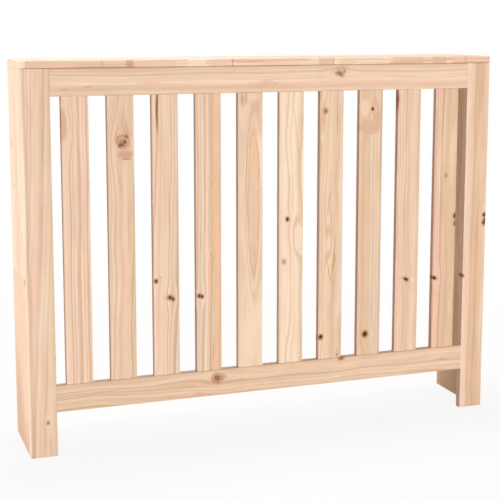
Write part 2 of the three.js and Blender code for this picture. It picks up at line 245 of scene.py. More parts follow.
def drift(tree, place, lengths, amount, seed, detail=1.0):
    """Moves each place a little sideways, up to amount millimetres, in a way that changes slowly.
    The noise strays by about a third from its middle, so it is taken three times."""
    shrink = [1 / length for length in lengths]
    start = [seed * step for step in (3.71, 1.37, 2.23)]
    slow = add(tree, "ShaderNodeMapping", {"Vector": place, "Location": start, "Scale": shrink})
    noise = add(tree, "ShaderNodeTexNoise", {"Vector": slow, "Scale": 1.0, "Detail": detail})
    middle = {0: noise.outputs["Color"], 1: (0.5, 0.5, 0.5)}
    even = add(tree, "ShaderNodeVectorMath", middle, operation="SUBTRACT")
    sideways = {0: even, 1: (3 * amount, 3 * amount, 0.0), 2: place}
    return add(tree, "ShaderNodeVectorMath", sideways, operation="MULTIPLY_ADD")


def from_spot(tree, place, at, half_width, half_length, turn=0.0):
    """How far a place is from a spot on the face, where 1 is the rim of an oval of these half sizes.
    The oval runs right through the board, so its depth hardly counts."""
    half_depth = 1000.0
    oval = {"Vector": place, "Location": (at[0], 0.0, at[1]), "Rotation": (0.0, turn, 0.0)}
    oval["Scale"] = (half_width, half_depth, half_length)
    shares = add(tree, "ShaderNodeMapping", oval, vector_type="TEXTURE")
    return add(tree, "ShaderNodeVectorMath", {0: shares}, operation="LENGTH").outputs["Value"]


# %% Growth rings, and the knots that part them
def knot_at(at, size, look="tight", dark=1.0, oval=1.2, turn=0.0, reach=4.0, pull=0.75):
    """A knot whose middle is so far across and along its board's face, and whose dark core has this
    radius. It moves the rings over reach times its size, by the share pull where it is strongest."""
    return dict(at=at, size=size, look=look, dark=dark, oval=oval, turn=turn, reach=reach, pull=pull)


def part_round(tree, place, knot):
    """Draws places in towards a knot, so that the rings' lines flow out and round it."""
    length_to_width = 2.2
    calm_from = 1.6
    reach = knot["size"] * knot["reach"]
    near = from_spot(tree, place, knot["at"], reach, length_to_width * reach)
    fall = {"Value": near, "From Max": calm_from, "To Min": knot["pull"], "To Max": 0.0}
    pull = add(tree, "ShaderNodeMapRange", fall, interpolation_type="SMOOTHERSTEP")
    middle = (knot["at"][0], 0.0, knot["at"][1])
    inwards = add(tree, "ShaderNodeVectorMath", {0: middle, 1: place}, operation="SUBTRACT")
    return add(tree, "ShaderNodeVectorMath", {0: inwards, 1: pull, 2: place}, operation="MULTIPLY_ADD")


def ring_count(tree, place, pith, lean, ring_width, bends):
    """How many years out from the pith a place is. lean is how far the pith moves in a millimetre.
    A bend adds some years at its middle, or takes them away, so that the lines close round it.
    Good and bad years come in slow turns, so the rings aren't evenly wide."""
    along = add(tree, "ShaderNodeSeparateXYZ", {0: place}).outputs["Z"]
    pith_line = {0: along, 1: (*lean, 1.0), 2: (*pith, 0.0)}
    pith_there = add(tree, "ShaderNodeVectorMath", pith_line, operation="MULTIPLY_ADD")
    out = add(tree, "ShaderNodeVectorMath", {0: place, 1: pith_there}, operation="SUBTRACT")
    distance = add(tree, "ShaderNodeVectorMath", {0: out}, operation="LENGTH").outputs["Value"]
    for bend in bends:
        near = from_spot(tree, place, bend["at"], *bend["half"])
        hump = {"Value": near, "From Max": 1.0, "To Min": bend["years"] * ring_width, "To Max": 0.0}
        hump = add(tree, "ShaderNodeMapRange", hump, interpolation_type="SMOOTHERSTEP")
        distance = add(tree, "ShaderNodeMath", {0: distance, 1: hump})
    even = add(tree, "ShaderNodeMath", {0: distance, 1: ring_width}, operation="DIVIDE")
    turns_a_year = 0.45
    years_gained = 1.6
    slow = add(tree, "ShaderNodeMath", {0: even, 1: turns_a_year}, operation="MULTIPLY")
    luck = {"W": slow, "Scale": 1.0, "Detail": 0.0}
    luck = add(tree, "ShaderNodeTexNoise", luck, noise_dimensions="1D")
    luck = {0: luck, 1: years_gained, 2: even}
    return add(tree, "ShaderNodeMath", luck, operation="MULTIPLY_ADD")


def late_wood(tree, years):
    """0 in a year's pale early wood, rising to 1 in its dark late wood, which ends sharply."""
    spring_ends = 0.25
    darkest = 0.78
    winter_nears = 0.8
    year = add(tree, "ShaderNodeMath", {0: years}, operation="FLOOR")
    share = add(tree, "ShaderNodeMath", {0: years, 1: year}, operation="SUBTRACT")
    rising = {"Value": share, "From Min": spring_ends, "From Max": darkest}
    rise = add(tree, "ShaderNodeMapRange", rising, interpolation_type="SMOOTHSTEP")
    falling = {"Value": share, "From Min": 1.0, "From Max": winter_nears}
    fall = add(tree, "ShaderNodeMapRange", falling, interpolation_type="SMOOTHSTEP")
    both = add(tree, "ShaderNodeMath", {0: rise, 1: fall}, operation="MULTIPLY")
    lottery = add(tree, "ShaderNodeTexWhiteNoise", {"W": year}, noise_dimensions="1D")
    weight = {"Value": lottery.outputs["Value"], "From Min": 0.2, "To Min": 0.1, "To Max": 1.4}
    weight = add(tree, "ShaderNodeMapRange", weight)
    return add(tree, "ShaderNodeMath", {0: both, 1: weight}, operation="MULTIPLY")


# %% Staves glued edge to edge
# Half the pitch of the fingers at a block's end, in millimetres, and how long they are for each of it.
finger_half_pitch = 2.0
finger_slope = 5.0
# A block's place on a line decides its lot, and neighbouring staves lie this far apart on that line.
next_stave = 7.31
# The lot then says how far the block's wood was from its neighbour's in the log, up to so many millimetres.
slice_jump = (150.0, 40.0, 3000.0)
print("the fingers are", finger_half_pitch * finger_slope, "mm long")


def staved(tree, place, stave_width, block_length, seed):
    """Jumps to another slice of wood in each stave, and in each block along it, whose end is zigzag.
    Returns the new place and a random colour for each block."""
    parts = add(tree, "ShaderNodeSeparateXYZ", {0: place})
    across, depth, along = (parts.outputs[way] for way in "XYZ")
    counted = {0: across, 1: 1 / stave_width, 2: 0.5}
    stave = add(tree, "ShaderNodeMath", counted, operation="MULTIPLY_ADD")
    stave = add(tree, "ShaderNodeMath", {0: stave}, operation="FLOOR")
    half = stave_width / 2
    within = add(tree, "ShaderNodeMath", {0: across, 1: half, 2: -half}, operation="WRAP")
    fingers = add(tree, "ShaderNodeMath", {0: across, 1: finger_half_pitch}, operation="PINGPONG")
    reach = {0: fingers, 1: finger_slope, 2: along}
    reach = add(tree, "ShaderNodeMath", reach, operation="MULTIPLY_ADD")
    reach = add(tree, "ShaderNodeMath", {0: reach, 1: block_length}, operation="DIVIDE")
    ticket = {0: stave, 1: next_stave, 2: seed}
    ticket = add(tree, "ShaderNodeMath", ticket, operation="MULTIPLY_ADD")
    ticket = add(tree, "ShaderNodeMath", {0: reach, 1: ticket})
    block = {"W": ticket, "Scale": 1.0, "Randomness": 0.8}
    block = add(tree, "ShaderNodeTexVoronoi", block, voronoi_dimensions="1D").outputs["Color"]
    inside = add(tree, "ShaderNodeCombineXYZ", {0: within, 1: depth, 2: along})
    jump = {0: block, 1: slice_jump, 2: inside}
    return add(tree, "ShaderNodeVectorMath", jump, operation="MULTIPLY_ADD"), block


# %% [markdown]
# ## The layers of colour on a pine board
# The ground tone lies in bands across the board, where pale sapwood meets warmer heartwood. Over it come
# slow changes from year to year, the fine streaks of the fibres, the late wood's lines, then stains and
# knots. Each layer is one short function that takes the colour so far and gives back the next one.

# %% Tints, clouds and fibres
def laid_over(tree, colour, look):
    """Lays a colour ramp over a colour, as thickly as the ramp's alpha says."""
    layers = {"Factor": look.outputs["Alpha"], 6: colour, 7: look.outputs["Color"]}
    return add(tree, "ShaderNodeMix", layers, data_type="RGBA").outputs[2]


def tinted_by_years(tree, colour, grown, years, seed):
    """A few years together grow pinker or paler, so this tint follows the rings."""
    tint_length = 260.0
    tints_a_year = 0.55
    length = add(tree, "ShaderNodeSeparateXYZ", {0: grown}).outputs["Z"]
    length = add(tree, "ShaderNodeMath", {0: length, 1: tint_length}, operation="DIVIDE")
    together = add(tree, "ShaderNodeMath", {0: years, 1: tints_a_year}, operation="MULTIPLY")
    decade = add(tree, "ShaderNodeCombineXYZ", {0: together, 1: length, 2: seed})
    decade = add(tree, "ShaderNodeTexNoise", {"Vector": decade, "Scale": 1.0, "Detail": 1.0})
    tint = [(0.3, linear(tones["cream"], 0.4)), (0.47, linear(tones["cream"], 0.0)),
            (0.53, linear(tones["rose"], 0.0)), (0.7, linear(tones["rose"], 0.5))]
    tint = add(tree, "ShaderNodeValToRGB", {"Fac": decade}, tint)
    return laid_over(tree, colour, tint)


def clouded(tree, colour, grown, widths, least, most, detail=2.0):
    """Makes a colour lighter and darker in soft streaks of these widths, in millimetres.
    Returns the colour and the streaks. Nearly all of the noise lies between 0.3 and 0.7."""
    stretched = {"Vector": grown, "Scale": [1 / width for width in widths]}
    stretched = add(tree, "ShaderNodeMapping", stretched)
    streaks = add(tree, "ShaderNodeTexNoise", {"Vector": stretched, "Scale": 1.0, "Detail": detail})
    spread = {"Value": streaks, "From Min": 0.3, "From Max": 0.7, "To Min": least, "To Max": most}
    spread = add(tree, "ShaderNodeMapRange", spread)
    return add(tree, "ShaderNodeVectorMath", {0: colour, "Scale": spread}, operation="SCALE"), streaks


# %% Late wood, stains and end grain
def mixed_in(tree, colour, share, dye):
    """Multiplies a colour by a dye, as far as share says."""
    darker = add(tree, "ShaderNodeVectorMath", {0: colour, 1: dye}, operation="MULTIPLY")
    layers = {"Factor": share, 6: colour, 7: darker}
    return add(tree, "ShaderNodeMix", layers, data_type="RGBA").outputs[2]


def stain_at(tone, at, half, strength, crisp=0.0, turn=0.0):
    """An oval stain with these half sizes across and along the board, solid out to the share crisp."""
    return dict(tone=tone, at=at, half=half, strength=strength, crisp=crisp, turn=turn)


def streak_at(at, half_length, strength, wide=1.8, **shape):
    """A thin brown streak of resin along the grain."""
    return stain_at("resin", at, (wide, half_length), strength, **shape)


def stained(tree, colour, place, marks, seed):
    """Lays each stain over the colour: a patch has an uneven rim, and a narrow streak hardly wanders."""
    widest_streak = 6.0
    patchy = drift(tree, place, (14.0, 14.0, 28.0), amount=7.0, seed=seed + 4.0, detail=2.0)
    streaky = drift(tree, place, (30.0, 30.0, 75.0), amount=2.5, seed=seed + 5.0, detail=2.0)
    for mark in marks:
        outline = patchy if mark["half"][0] > widest_streak else streaky
        near = from_spot(tree, outline, mark["at"], *mark["half"], mark["turn"])
        tone = tones[mark["tone"]]
        stops = [(mark["crisp"], linear(tone, mark["strength"])), (1.0, linear(tone, 0.0))]
        look = add(tree, "ShaderNodeValToRGB", {"Fac": near}, stops)
        colour = laid_over(tree, colour, look)
    return colour


def end_grain(tree, colour, along):
    """The cut ends of the fibres drink up light, so end grain is a little darker than the faces."""
    darker = (0.97, 0.94, 0.90)
    facing = add(tree, "ShaderNodeTexCoord").outputs["Normal"]
    facing = add(tree, "ShaderNodeSeparateXYZ", {0: facing}).outputs[along]
    facing = add(tree, "ShaderNodeMath", {0: facing}, operation="ABSOLUTE")
    share = {"Value": facing, "From Min": 0.75, "From Max": 0.95}
    share = add(tree, "ShaderNodeMapRange", share, interpolation_type="SMOOTHSTEP")
    return mixed_in(tree, colour, share, darker)


# %% [markdown]
# ## Knots
# A knot is the foot of a branch that the trunk grew round. A dead branch leaves a tight knot, black
# with bark and resin. A living one leaves a sound knot, brown right through with a darker ring, and one
# that the plane only grazes is faint. All of them stain the wood near them. Where each knot sits on its
# board is listed, and its rim is made ragged.

# %% How a knot looks from its heart outwards
# Each look goes from the knot's middle, 0, to look_reach times the knot's size, 1.
look_reach = 3.0
knot_looks = {
    "tight": [
        (0.0, "knot heart", 1.0), (0.24, "knot heart", 0.95), (0.36, "bark", 0.9), (0.48, "resin", 0.85),
        (0.62, "resin", 0.45), (0.8, "clay", 0.4), (1.0, "rose", 0.0),
    ],
    "faint": [
        (0.0, "bark", 0.85), (0.22, "bark", 0.7), (0.36, "resin", 0.8), (0.55, "resin", 0.4),
        (0.75, "clay", 0.4), (1.0, "clay", 0.0),
    ],
    "sound": [
        (0.0, "resin", 0.95), (0.16, "resin", 0.9), (0.27, "bark", 0.9), (0.36, "resin", 0.8),
        (0.5, "resin", 0.45), (0.72, "resin", 0.4), (0.86, "resin", 0.25), (1.0, "clay", 0.0),
    ],
}
print("kinds of knot:", *knot_looks)


def knotted(tree, colour, place, knots, seed):
    """Lays each knot over the colour, one after the other."""
    ragged = drift(tree, place, (4.5, 4.5, 5.0), amount=1.7, seed=seed + 9.0, detail=2.0)
    for knot in knots:
        half = look_reach * knot["size"]
        near = from_spot(tree, ragged, knot["at"], half, half * knot["oval"], knot["turn"])
        stops = [(spot, linear(tones[tone], level * knot["dark"]))
                 for spot, tone, level in knot_looks[knot["look"]]]
        look = add(tree, "ShaderNodeValToRGB", {"Fac": near}, stops)
        colour = laid_over(tree, colour, look)
    return colour


# %% The finished pine material
# Over how many millimetres, across, into and along a board, its grain wanders and its tone clouds.
wander_lengths = (60.0, 60.0, 230.0)
cloud_widths = (16, 16, 75)
# Fibres about a millimetre wide. Real ones are ten times finer and would not show.
fibre_widths = (1.6, 1.6, 60)
# Late wood is denser, so it is darker and a little redder, and it stands up after sanding.
late_wood_dye = (0.80, 0.71, 0.61)
late_wood_share = 0.9
late_wood_relief = 0.6
relief_height = 0.08 * mm


def planed_pine(name, origin, ways, width, pith, bands, lean=(0.0, 0.0), ring_width=6.5, wander=3.0,
                contrast=1.0, knots=(), bends=(), marks=(), staves=None, seed=1.0):
    """Planed and thinly sealed pine for one board, with its own rings, tones, knots and stains.
    bands are (share of the width, tone) pairs; in a staved board they are shared out by lot."""
    material = blank_material(name)
    tree = material.node_tree
    board = board_place(tree, origin, *ways)
    place = board
    if staves:
        place, lot = staved(tree, board, *staves, seed)
        share = add(tree, "ShaderNodeSeparateXYZ", {0: lot})
    grown = drift(tree, place, wander_lengths, wander, seed)
    if not staves:
        across = add(tree, "ShaderNodeSeparateXYZ", {0: grown})
        share = {"Value": across, "From Min": -width / 2, "From Max": width / 2}
        share = add(tree, "ShaderNodeMapRange", share)
    for knot in knots:
        if knot["pull"]:
            grown = part_round(tree, grown, knot)
    years = ring_count(tree, grown, pith, lean, ring_width, bends)
    late = late_wood(tree, years)

    stops = [(spot, linear(tones[tone])) for spot, tone in bands]
    colour = add(tree, "ShaderNodeValToRGB", {"Fac": share}, stops)
    colour = tinted_by_years(tree, colour, grown, years, seed)
    colour = clouded(tree, colour, grown, cloud_widths, least=0.96, most=1.035)[0]
    colour, fibre = clouded(tree, colour, grown, fibre_widths, least=0.97, most=1.02, detail=3.0)
    strength = {0: late, 1: late_wood_share * contrast}
    strength = add(tree, "ShaderNodeMath", strength, operation="MULTIPLY", use_clamp=True)
    colour = mixed_in(tree, colour, strength, late_wood_dye)
    colour = stained(tree, colour, board, marks, seed)
    colour = knotted(tree, colour, board, knots, seed)
    colour = end_grain(tree, colour, ways[2])

    relief = {0: late, 1: late_wood_relief, 2: fibre}
    relief = add(tree, "ShaderNodeMath", relief, operation="MULTIPLY_ADD")
    bump = {"Height": relief, "Strength": 0.35, "Distance": relief_height}
    bump = add(tree, "ShaderNodeBump", bump)
    gloss = add(tree, "ShaderNodeMapRange", {"Value": late, "To Min": 0.62, "To Max": 0.5})
    # The clear seal is thin and soft, so the wood hardly shines and its dark knots stay brown.
    wood = {"Base Color": colour, "Roughness": gloss, "Normal": bump, "Specular IOR Level": 0.12}
    shader = add(tree, "ShaderNodeBsdfPrincipled", wood)
    add(tree, "ShaderNodeOutputMaterial", {"Surface": shader})
    print(material.name, "has", len(knots), "knots,", len(marks), "stains and", len(tree.nodes), "nodes")
    return material


# %% [markdown]
# ## Boards with softened edges
# Every board is planed square, and then each edge that a hand can reach is rounded over by two
# millimetres. A block with bevelled edges gives that shape. The edge that two boards share in a joint
# stays square, because the frame was sanded flush after it was glued.

# %% Sizes that the boards share
arris = 2 * mm
arris_steps = 4
joint_gap = 0.3 * mm
rail_low, rail_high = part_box("bottom_rail")
top_rail_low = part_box("top_rail")[0]
print("the rails are", round((rail_high.z - rail_low.z) / mm, 1), "mm high")


def block(low, high, levels=()):
    """A square-edged block as a bmesh, with a loop of edges round it at each of these heights."""
    made = bmesh.new()
    rings = []
    for z in sorted({low.z, *levels, high.z}):
        ring = [(low.x, low.y), (high.x, low.y), (high.x, high.y), (low.x, high.y)]
        rings.append([made.verts.new((x, y, z)) for x, y in ring])
    made.faces.new(rings[0])
    made.faces.new(rings[-1])
    for lower, upper in zip(rings, rings[1:]):
        for i in range(4):
            made.faces.new((lower[i - 1], lower[i], upper[i], upper[i - 1]))
    bmesh.ops.recalc_face_normals(made, faces=made.faces)
    return made


def ease(made, reachable):
    """Rounds over each corner edge whose middle and direction reachable() accepts."""
    flat = math.radians(5)
    edges = []
    for edge in made.edges:
        middle = (edge.verts[0].co + edge.verts[1].co) / 2
        way = (edge.verts[1].co - edge.verts[0].co).normalized()
        if edge.calc_face_angle() > flat and reachable(middle, way):
            edges.append(edge)
    bmesh.ops.bevel(made, geom=edges, offset=arris, segments=arris_steps, profile=0.5, affect="EDGES")


def object_from(made, name):
    """A new object that holds a bmesh."""
    mesh = bpy.data.meshes.new(name)
    made.to_mesh(mesh)
    made.free()
    piece = bpy.data.objects.new(name, mesh)
    bpy.context.scene.collection.objects.link(piece)
    return piece


def bake_modifiers(piece):
    """Keeps what the modifiers make as the piece's own plain mesh, and takes the modifiers off."""
    graph = bpy.context.evaluated_depsgraph_get()
    live = piece.evaluated_get(graph)
    made = bpy.data.meshes.new_from_object(live, preserve_all_data_layers=True, depsgraph=graph)
    piece.modifiers.clear()
    piece.data = made


# %% [markdown]
# ## Bores for dowels, cams and bolts
# Flat-pack boards are full of holes that nobody sees: a bore for each dowel, a pocket for each cam and
# a channel for its bolt. Each one is cut round the fitting that sits in it, with a little room, so the
# boards are also right when the cabinet is taken apart.

# %% Cut round what sits in a board
bore_room = 0.3 * mm
cam_names = sorted(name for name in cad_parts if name.startswith("cam_") and "bolt" not in name)
fitting_words = ("dowel", "cam_", "screw")
fittings = [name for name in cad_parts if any(word in name for word in fitting_words)]
print(len(fittings), "fittings need a bore")


def overlaps(first, second):
    """True if two (low, high) boxes share some space."""
    return all(first[0][i] < second[1][i] and second[0][i] < first[1][i] for i in range(3))


def pointed(way):
    """The rotation that makes the Z axis point this way."""
    return Vector((0, 0, 1)).rotation_difference(Vector(way)).to_matrix().to_4x4()


def rod(radius, length, where):
    """A round bar as a bmesh. It stands along Z until the matrix where moves it."""
    made = bmesh.new()
    bmesh.ops.create_cone(made, cap_ends=True, segments=32, radius1=radius, radius2=radius,
                          depth=length, matrix=where)
    return made


def cutter_round(name):
    """A round cutter for a fitting. A cam's axis lies along X, and any other's along its length."""
    low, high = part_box(name)
    size = high - low
    axis = 0 if name in cam_names else max(range(3), key=lambda i: size[i])
    radius = max(size[i] for i in range(3) if i != axis) / 2 + bore_room
    turn = pointed([float(i == axis) for i in range(3)])
    return rod(radius, size[axis] + 2 * bore_room, Matrix.Translation((low + high) / 2) @ turn)


def carve(piece, cutters):
    """Takes each cutter out of a piece."""
    tools = [object_from(made, "cutter") for made in cutters]
    for tool in tools:
        cut = piece.modifiers.new("bore", "BOOLEAN")
        cut.operation = "DIFFERENCE"
        cut.solver = "EXACT"
        cut.object = tool
    bake_modifiers(piece)
    for tool in tools:
        bpy.data.objects.remove(tool)


def shade(piece, crease):
    """Shades a piece as smooth, but for the edges that bend by more than crease degrees."""
    piece.data.shade_smooth()
    piece.data.set_sharp_from_angle(angle=math.radians(crease))


def coat(mesh, material):
    """Gives a mesh this material alone."""
    mesh.materials.clear()
    mesh.materials.append(material)


def finish_board(piece, node, material):
    """Shades a board smoothly over its arrises but flat on its faces, and sets it in the frame."""
    shade(piece, crease=35)
    even = piece.modifiers.new("flat_faces", "WEIGHTED_NORMAL")
    even.keep_sharp = True
    bake_modifiers(piece)
    coat(piece.data, material)
    piece.name = "pine_" + node
    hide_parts(node)
    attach(piece, "root")


def make_board(node, material, reachable, levels=(), extra=()):
    """Makes one board from its place in the frame, rounds its reachable edges and takes out what sits
    in it. levels are heights where its upright edges are cut in two, and extra are more cutters."""
    low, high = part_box(node)
    made = block(low, high, levels)
    ease(made, reachable)
    piece = object_from(made, node + "_blank")
    inside = [name for name in fittings if overlaps(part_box(name), (low, high))]
    carve(piece, [*map(cutter_round, inside), *extra])
    finish_board(piece, node, material)
    print(piece.name, "has", len(inside), "bores and", len(piece.data.polygons), "faces")


# %% [markdown]
# ## The frame: two stiles and two rails
# The stiles run the full height and the rails fit between them. A rail keeps square ends, and a
# stile's inner edges are rounded only where no rail meets them.

# %% Frame boards
slat_names = sorted(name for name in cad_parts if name.startswith("slat_"))
# The axes across a board's face, into its thickness and along its grain, for each way it can stand.
upright = "XYZ"
lying = "ZYX"
# Stiles, rails and slats are all planed to this width, in millimetres.
stock_width = 58.0


def front_middle(node):
    """The middle of a board's front face."""
    low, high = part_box(node)
    return Vector(((low.x + high.x) / 2, low.y, (low.z + high.z) / 2))


frame_pine = {
    # Straight, soft lines that drift to the right, a rosy patch in the middle and a faint knot low down.
    "left_stile": dict(
        pith=(-170, 60), lean=(0.05, 0.0), ring_width=12.0, wander=5.0, contrast=0.55, seed=1,
        bands=[
            (0.0, "cream"), (0.08, "tan"), (0.25, "shell"), (0.6, "sand"), (0.8, "sand"), (1.0, "tan"),
        ],
        knots=[knot_at((9, -337), 2.4, look="faint", dark=0.9)],
        marks=[
            streak_at((-18, 330), 130, 0.35, turn=0.015),
            streak_at((-24, 40), 170, 0.35),
            streak_at((13, 300), 190, 0.4, wide=1.6, turn=0.03),
            stain_at("rose", (3, 155), (8, 32), 0.9),
            stain_at("clay", (2, -210), (3, 110), 0.5),
            streak_at((14, -385), 40, 0.6, wide=1.6),
            stain_at("straw", (22, 60), (6, 160), 0.7),
            stain_at("cream", (6, -120), (30, 120), 0.35),
        ],
    ),
    # Peach wood, darker in the middle, a double knot on the outer edge and a small one on the inner.
    "right_stile": dict(
        pith=(-130, 30), lean=(0.01, 0.0), ring_width=8.5, wander=3.5, contrast=0.5, seed=2,
        bands=[(0.0, "shell"), (0.2, "sand"), (0.4, "tan"), (0.6, "clay"), (0.8, "tan"), (1.0, "sand")],
        knots=[
            knot_at((25, 54), 3.2),
            knot_at((26, 45), 2.2, pull=0.0),
            knot_at((24, 37), 3.2, dark=0.9, oval=1.5),
            knot_at((-28, -89), 2.2, dark=0.8),
        ],
        marks=[
            stain_at("clay", (-7, 60), (4, 260), 0.4),
            streak_at((5, 60), 240, 0.25, wide=1.6),
            stain_at("apricot", (12, 60), (5, 280), 0.6),
            stain_at("apricot", (10, 270), (8, 90), 0.8),
            stain_at("clay", (-2, 110), (14, 90), 0.5),
            stain_at("rose", (-16, -160), (9, 110), 0.6),
        ],
    ),
    # Fine streaks along the upper edge and rosier, mottled wood below, with one knot right of the middle.
    "top_rail": dict(
        pith=(-90, 40), lean=(0.0, 0.006), ring_width=7.5, wander=3.5, contrast=0.6, seed=3,
        bands=[
            (0.0, "sand"), (0.25, "tan"), (0.42, "shell"), (0.56, "sand"), (0.75, "sand"), (1.0, "tan"),
        ],
        knots=[
            knot_at((9, 163), 3.4, look="faint", reach=5.5, turn=-0.5, oval=1.6),
            knot_at((14, 173), 2.6, look="faint", dark=0.7, pull=0.0, oval=0.6),
            knot_at((10, 155), 2.6, look="faint", dark=0.6, pull=0.0),
        ],
        marks=[
            stain_at("tan", (-12, -330), (9, 160), 0.7, crisp=0.3),
            stain_at("clay", (21, -330), (2, 130), 0.8),
            stain_at("clay", (12, -300), (1.5, 130), 0.8),
            streak_at((-10, -405), 13, 0.9, wide=1.6),
            streak_at((-14, -456), 10, 0.9, wide=1.6),
            stain_at("apricot", (-18, -478), (8, 16), 0.9),
            stain_at("clay", (-12, -20), (11, 44), 0.7, crisp=0.3),
            streak_at((-10, 12), 3, 0.7, wide=2),
            stain_at("apricot", (-6, -260), (7, 46), 0.8),
            stain_at("rose", (-14, 320), (13, 160), 0.6),
            streak_at((2, 320), 60, 0.45, wide=1.6),
            stain_at("resin", (16, 165), (14, 20), 0.3, crisp=0.5),
            stain_at("resin", (10, 144), (8, 8), 0.25),
        ],
    ),
    # Wavy lines that rise to the big ringed knot, and a flat, faint one near the upper edge.
    "bottom_rail": dict(
        pith=(-70, 45), lean=(0.0, 0.03), ring_width=9.0, wander=9.0, contrast=0.8, seed=4,
        bands=[(0.0, "tan"), (0.3, "sand"), (0.55, "tan"), (0.75, "sand"), (1.0, "tan")],
        knots=[
            knot_at((11, -127), 4.8, reach=5.0, oval=1.1, look="sound"),
            knot_at((27, 173), 3.2, look="faint", oval=1.6),
        ],
        marks=[
            stain_at("resin", (10, -127), (17, 20), 0.35, crisp=0.5),
            stain_at("resin", (15, -111), (8, 10), 0.5),
            stain_at("clay", (22, -100), (7, 16), 0.7, turn=-0.6),
            stain_at("rose", (-21, -193), (5, 26), 0.9),
            streak_at((4, -390), 90, 0.4, turn=0.09),
            streak_at((-5, -200), 70, 0.4),
            streak_at((-1, 435), 24, 0.8),
        ],
    ),
}

print("knots in the frame:", {name: len(wood["knots"]) for name, wood in frame_pine.items()})

# %% The stiles, rounded where no rail meets them
rail_heights = (rail_low.z, rail_high.z, top_rail_low.z)


def stile_edges(side):
    """Which edges of a stile are rounded: all but those that meet a rail's end."""
    inner_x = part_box("left_stile")[1].x if side < 0 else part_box("right_stile")[0].x

    def reachable(middle, way):
        inner = abs(middle.x - inner_x) < 1 * mm
        beside_rail = rail_low.z < middle.z < rail_high.z or middle.z > top_rail_low.z
        runs_back = abs(way.y) > 0.5
        return not (inner and (beside_rail or runs_back))

    return reachable


for side, name in ((-1, "left_stile"), (1, "right_stile")):
    wood = planed_pine("pine_" + name, front_middle(name), upright, stock_width, **frame_pine[name])
    make_board(name, wood, stile_edges(side), levels=rail_heights)

# %% The rails, with a mortise for each slat
tenon_width = 40 * mm
tenon_thickness = 8 * mm
tenon_length = 12 * mm
mortise_depth = tenon_length + 1 * mm
frame_middle_y = (rail_low.y + rail_high.y) / 2


def mortise(slat, z_from, z_to):
    """A square cutter for one slat's tenon."""
    x = front_middle(slat).x
    half = Vector((tenon_width / 2 + joint_gap, tenon_thickness / 2 + joint_gap, 0.0))
    low = Vector((x, frame_middle_y, min(z_from, z_to))) - half
    high = Vector((x, frame_middle_y, max(z_from, z_to))) + half
    return block(low, high)


for name, edge_z, inward in (("top_rail", top_rail_low.z, 1), ("bottom_rail", rail_high.z, -1)):
    wood = planed_pine("pine_" + name, front_middle(name), lying, stock_width, **frame_pine[name])
    opening = edge_z - inward * mm
    bottom = edge_z + inward * mortise_depth
    mortises = [mortise(slat, opening, bottom) for slat in slat_names]
    make_board(name, wood, lambda middle, way: abs(way.x) > 0.5, extra=mortises)

# %% [markdown]
# ## Ten slats from one rule
# The slats are all alike and stand at one pitch, so a Geometry Nodes tree makes the row. It fills a
# rounded outline, pulls it up to half the slat's height, narrows it to the tenon, mirrors that half and
# sets a copy on each point of a line. The row is then cut into ten pieces, as the real slats are, so
# that each one can have its own grain.

# %% The slat tree
slat_low, slat_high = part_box(slat_names[0])
slat_width = slat_high.x - slat_low.x
slat_thickness = slat_high.y - slat_low.y
slat_height = top_rail_low.z - rail_high.z - 2 * joint_gap
slat_pitch = front_middle(slat_names[1]).x - front_middle(slat_names[0]).x
slat_count = len(slat_names)

rule = bpy.data.node_groups.new("slat_row", "GeometryNodeTree")
rule.interface.new_socket("Geometry", in_out="OUTPUT", socket_type="NodeSocketGeometry")
sizes = {
    "Width": slat_width,
    "Thickness": slat_thickness,
    "Height": slat_height,
    "Arris": arris,
    "Tenon width": tenon_width,
    "Tenon thickness": tenon_thickness,
    "Tenon length": tenon_length,
    "Pitch": slat_pitch,
}
size_sockets = {}
for label in sizes:
    size_sockets[label] = rule.interface.new_socket(label, in_out="INPUT", socket_type="NodeSocketFloat")
count_socket = rule.interface.new_socket("Count", in_out="INPUT", socket_type="NodeSocketInt")
material_socket = rule.interface.new_socket("Material", in_out="INPUT", socket_type="NodeSocketMaterial")

given = add(rule, "NodeGroupInput")
half_height = add(rule, "ShaderNodeMath", {0: given.outputs["Height"], 1: 0.5}, operation="MULTIPLY")
outline = {"Width": given.outputs["Width"], "Height": given.outputs["Thickness"]}
outline = add(rule, "GeometryNodeCurvePrimitiveQuadrilateral", outline)
rounded = {"Curve": outline, "Count": arris_steps, "Radius": given.outputs["Arris"]}
rounded = add(rule, "GeometryNodeFilletCurve", rounded, mode="POLY")
section = add(rule, "GeometryNodeFillCurve", {"Curve": rounded}, mode="NGONS")
up = add(rule, "ShaderNodeCombineXYZ", {"Z": half_height})
blade = add(rule, "GeometryNodeExtrudeMesh", {"Mesh": section, "Offset": up})
no_offset = {"Mesh": blade, "Selection": blade.outputs["Top"], "Offset Scale": 0.0}
shoulder = add(rule, "GeometryNodeExtrudeMesh", no_offset)
narrow_x = {0: given.outputs["Tenon width"], 1: given.outputs["Width"]}
narrow_x = add(rule, "ShaderNodeMath", narrow_x, operation="DIVIDE")
narrow_y = {0: given.outputs["Tenon thickness"], 1: given.outputs["Thickness"]}
narrow_y = add(rule, "ShaderNodeMath", narrow_y, operation="DIVIDE")
narrow = add(rule, "ShaderNodeCombineXYZ", {0: narrow_x, 1: narrow_y, 2: 1.0})
here = add(rule, "GeometryNodeInputPosition")
drawn_in = add(rule, "ShaderNodeVectorMath", {0: here, 1: narrow}, operation="MULTIPLY")
drawn_in = {"Geometry": shoulder, "Selection": shoulder.outputs["Top"], "Position": drawn_in}
neck = add(rule, "GeometryNodeSetPosition", drawn_in)
tenon_up = add(rule, "ShaderNodeCombineXYZ", {"Z": given.outputs["Tenon length"]})
tenon = {"Mesh": neck, "Selection": shoulder.outputs["Top"], "Offset": tenon_up}
upper_half = add(rule, "GeometryNodeExtrudeMesh", tenon)
lower_half = add(rule, "GeometryNodeTransform", {"Geometry": upper_half, "Scale": (1.0, 1.0, -1.0)})
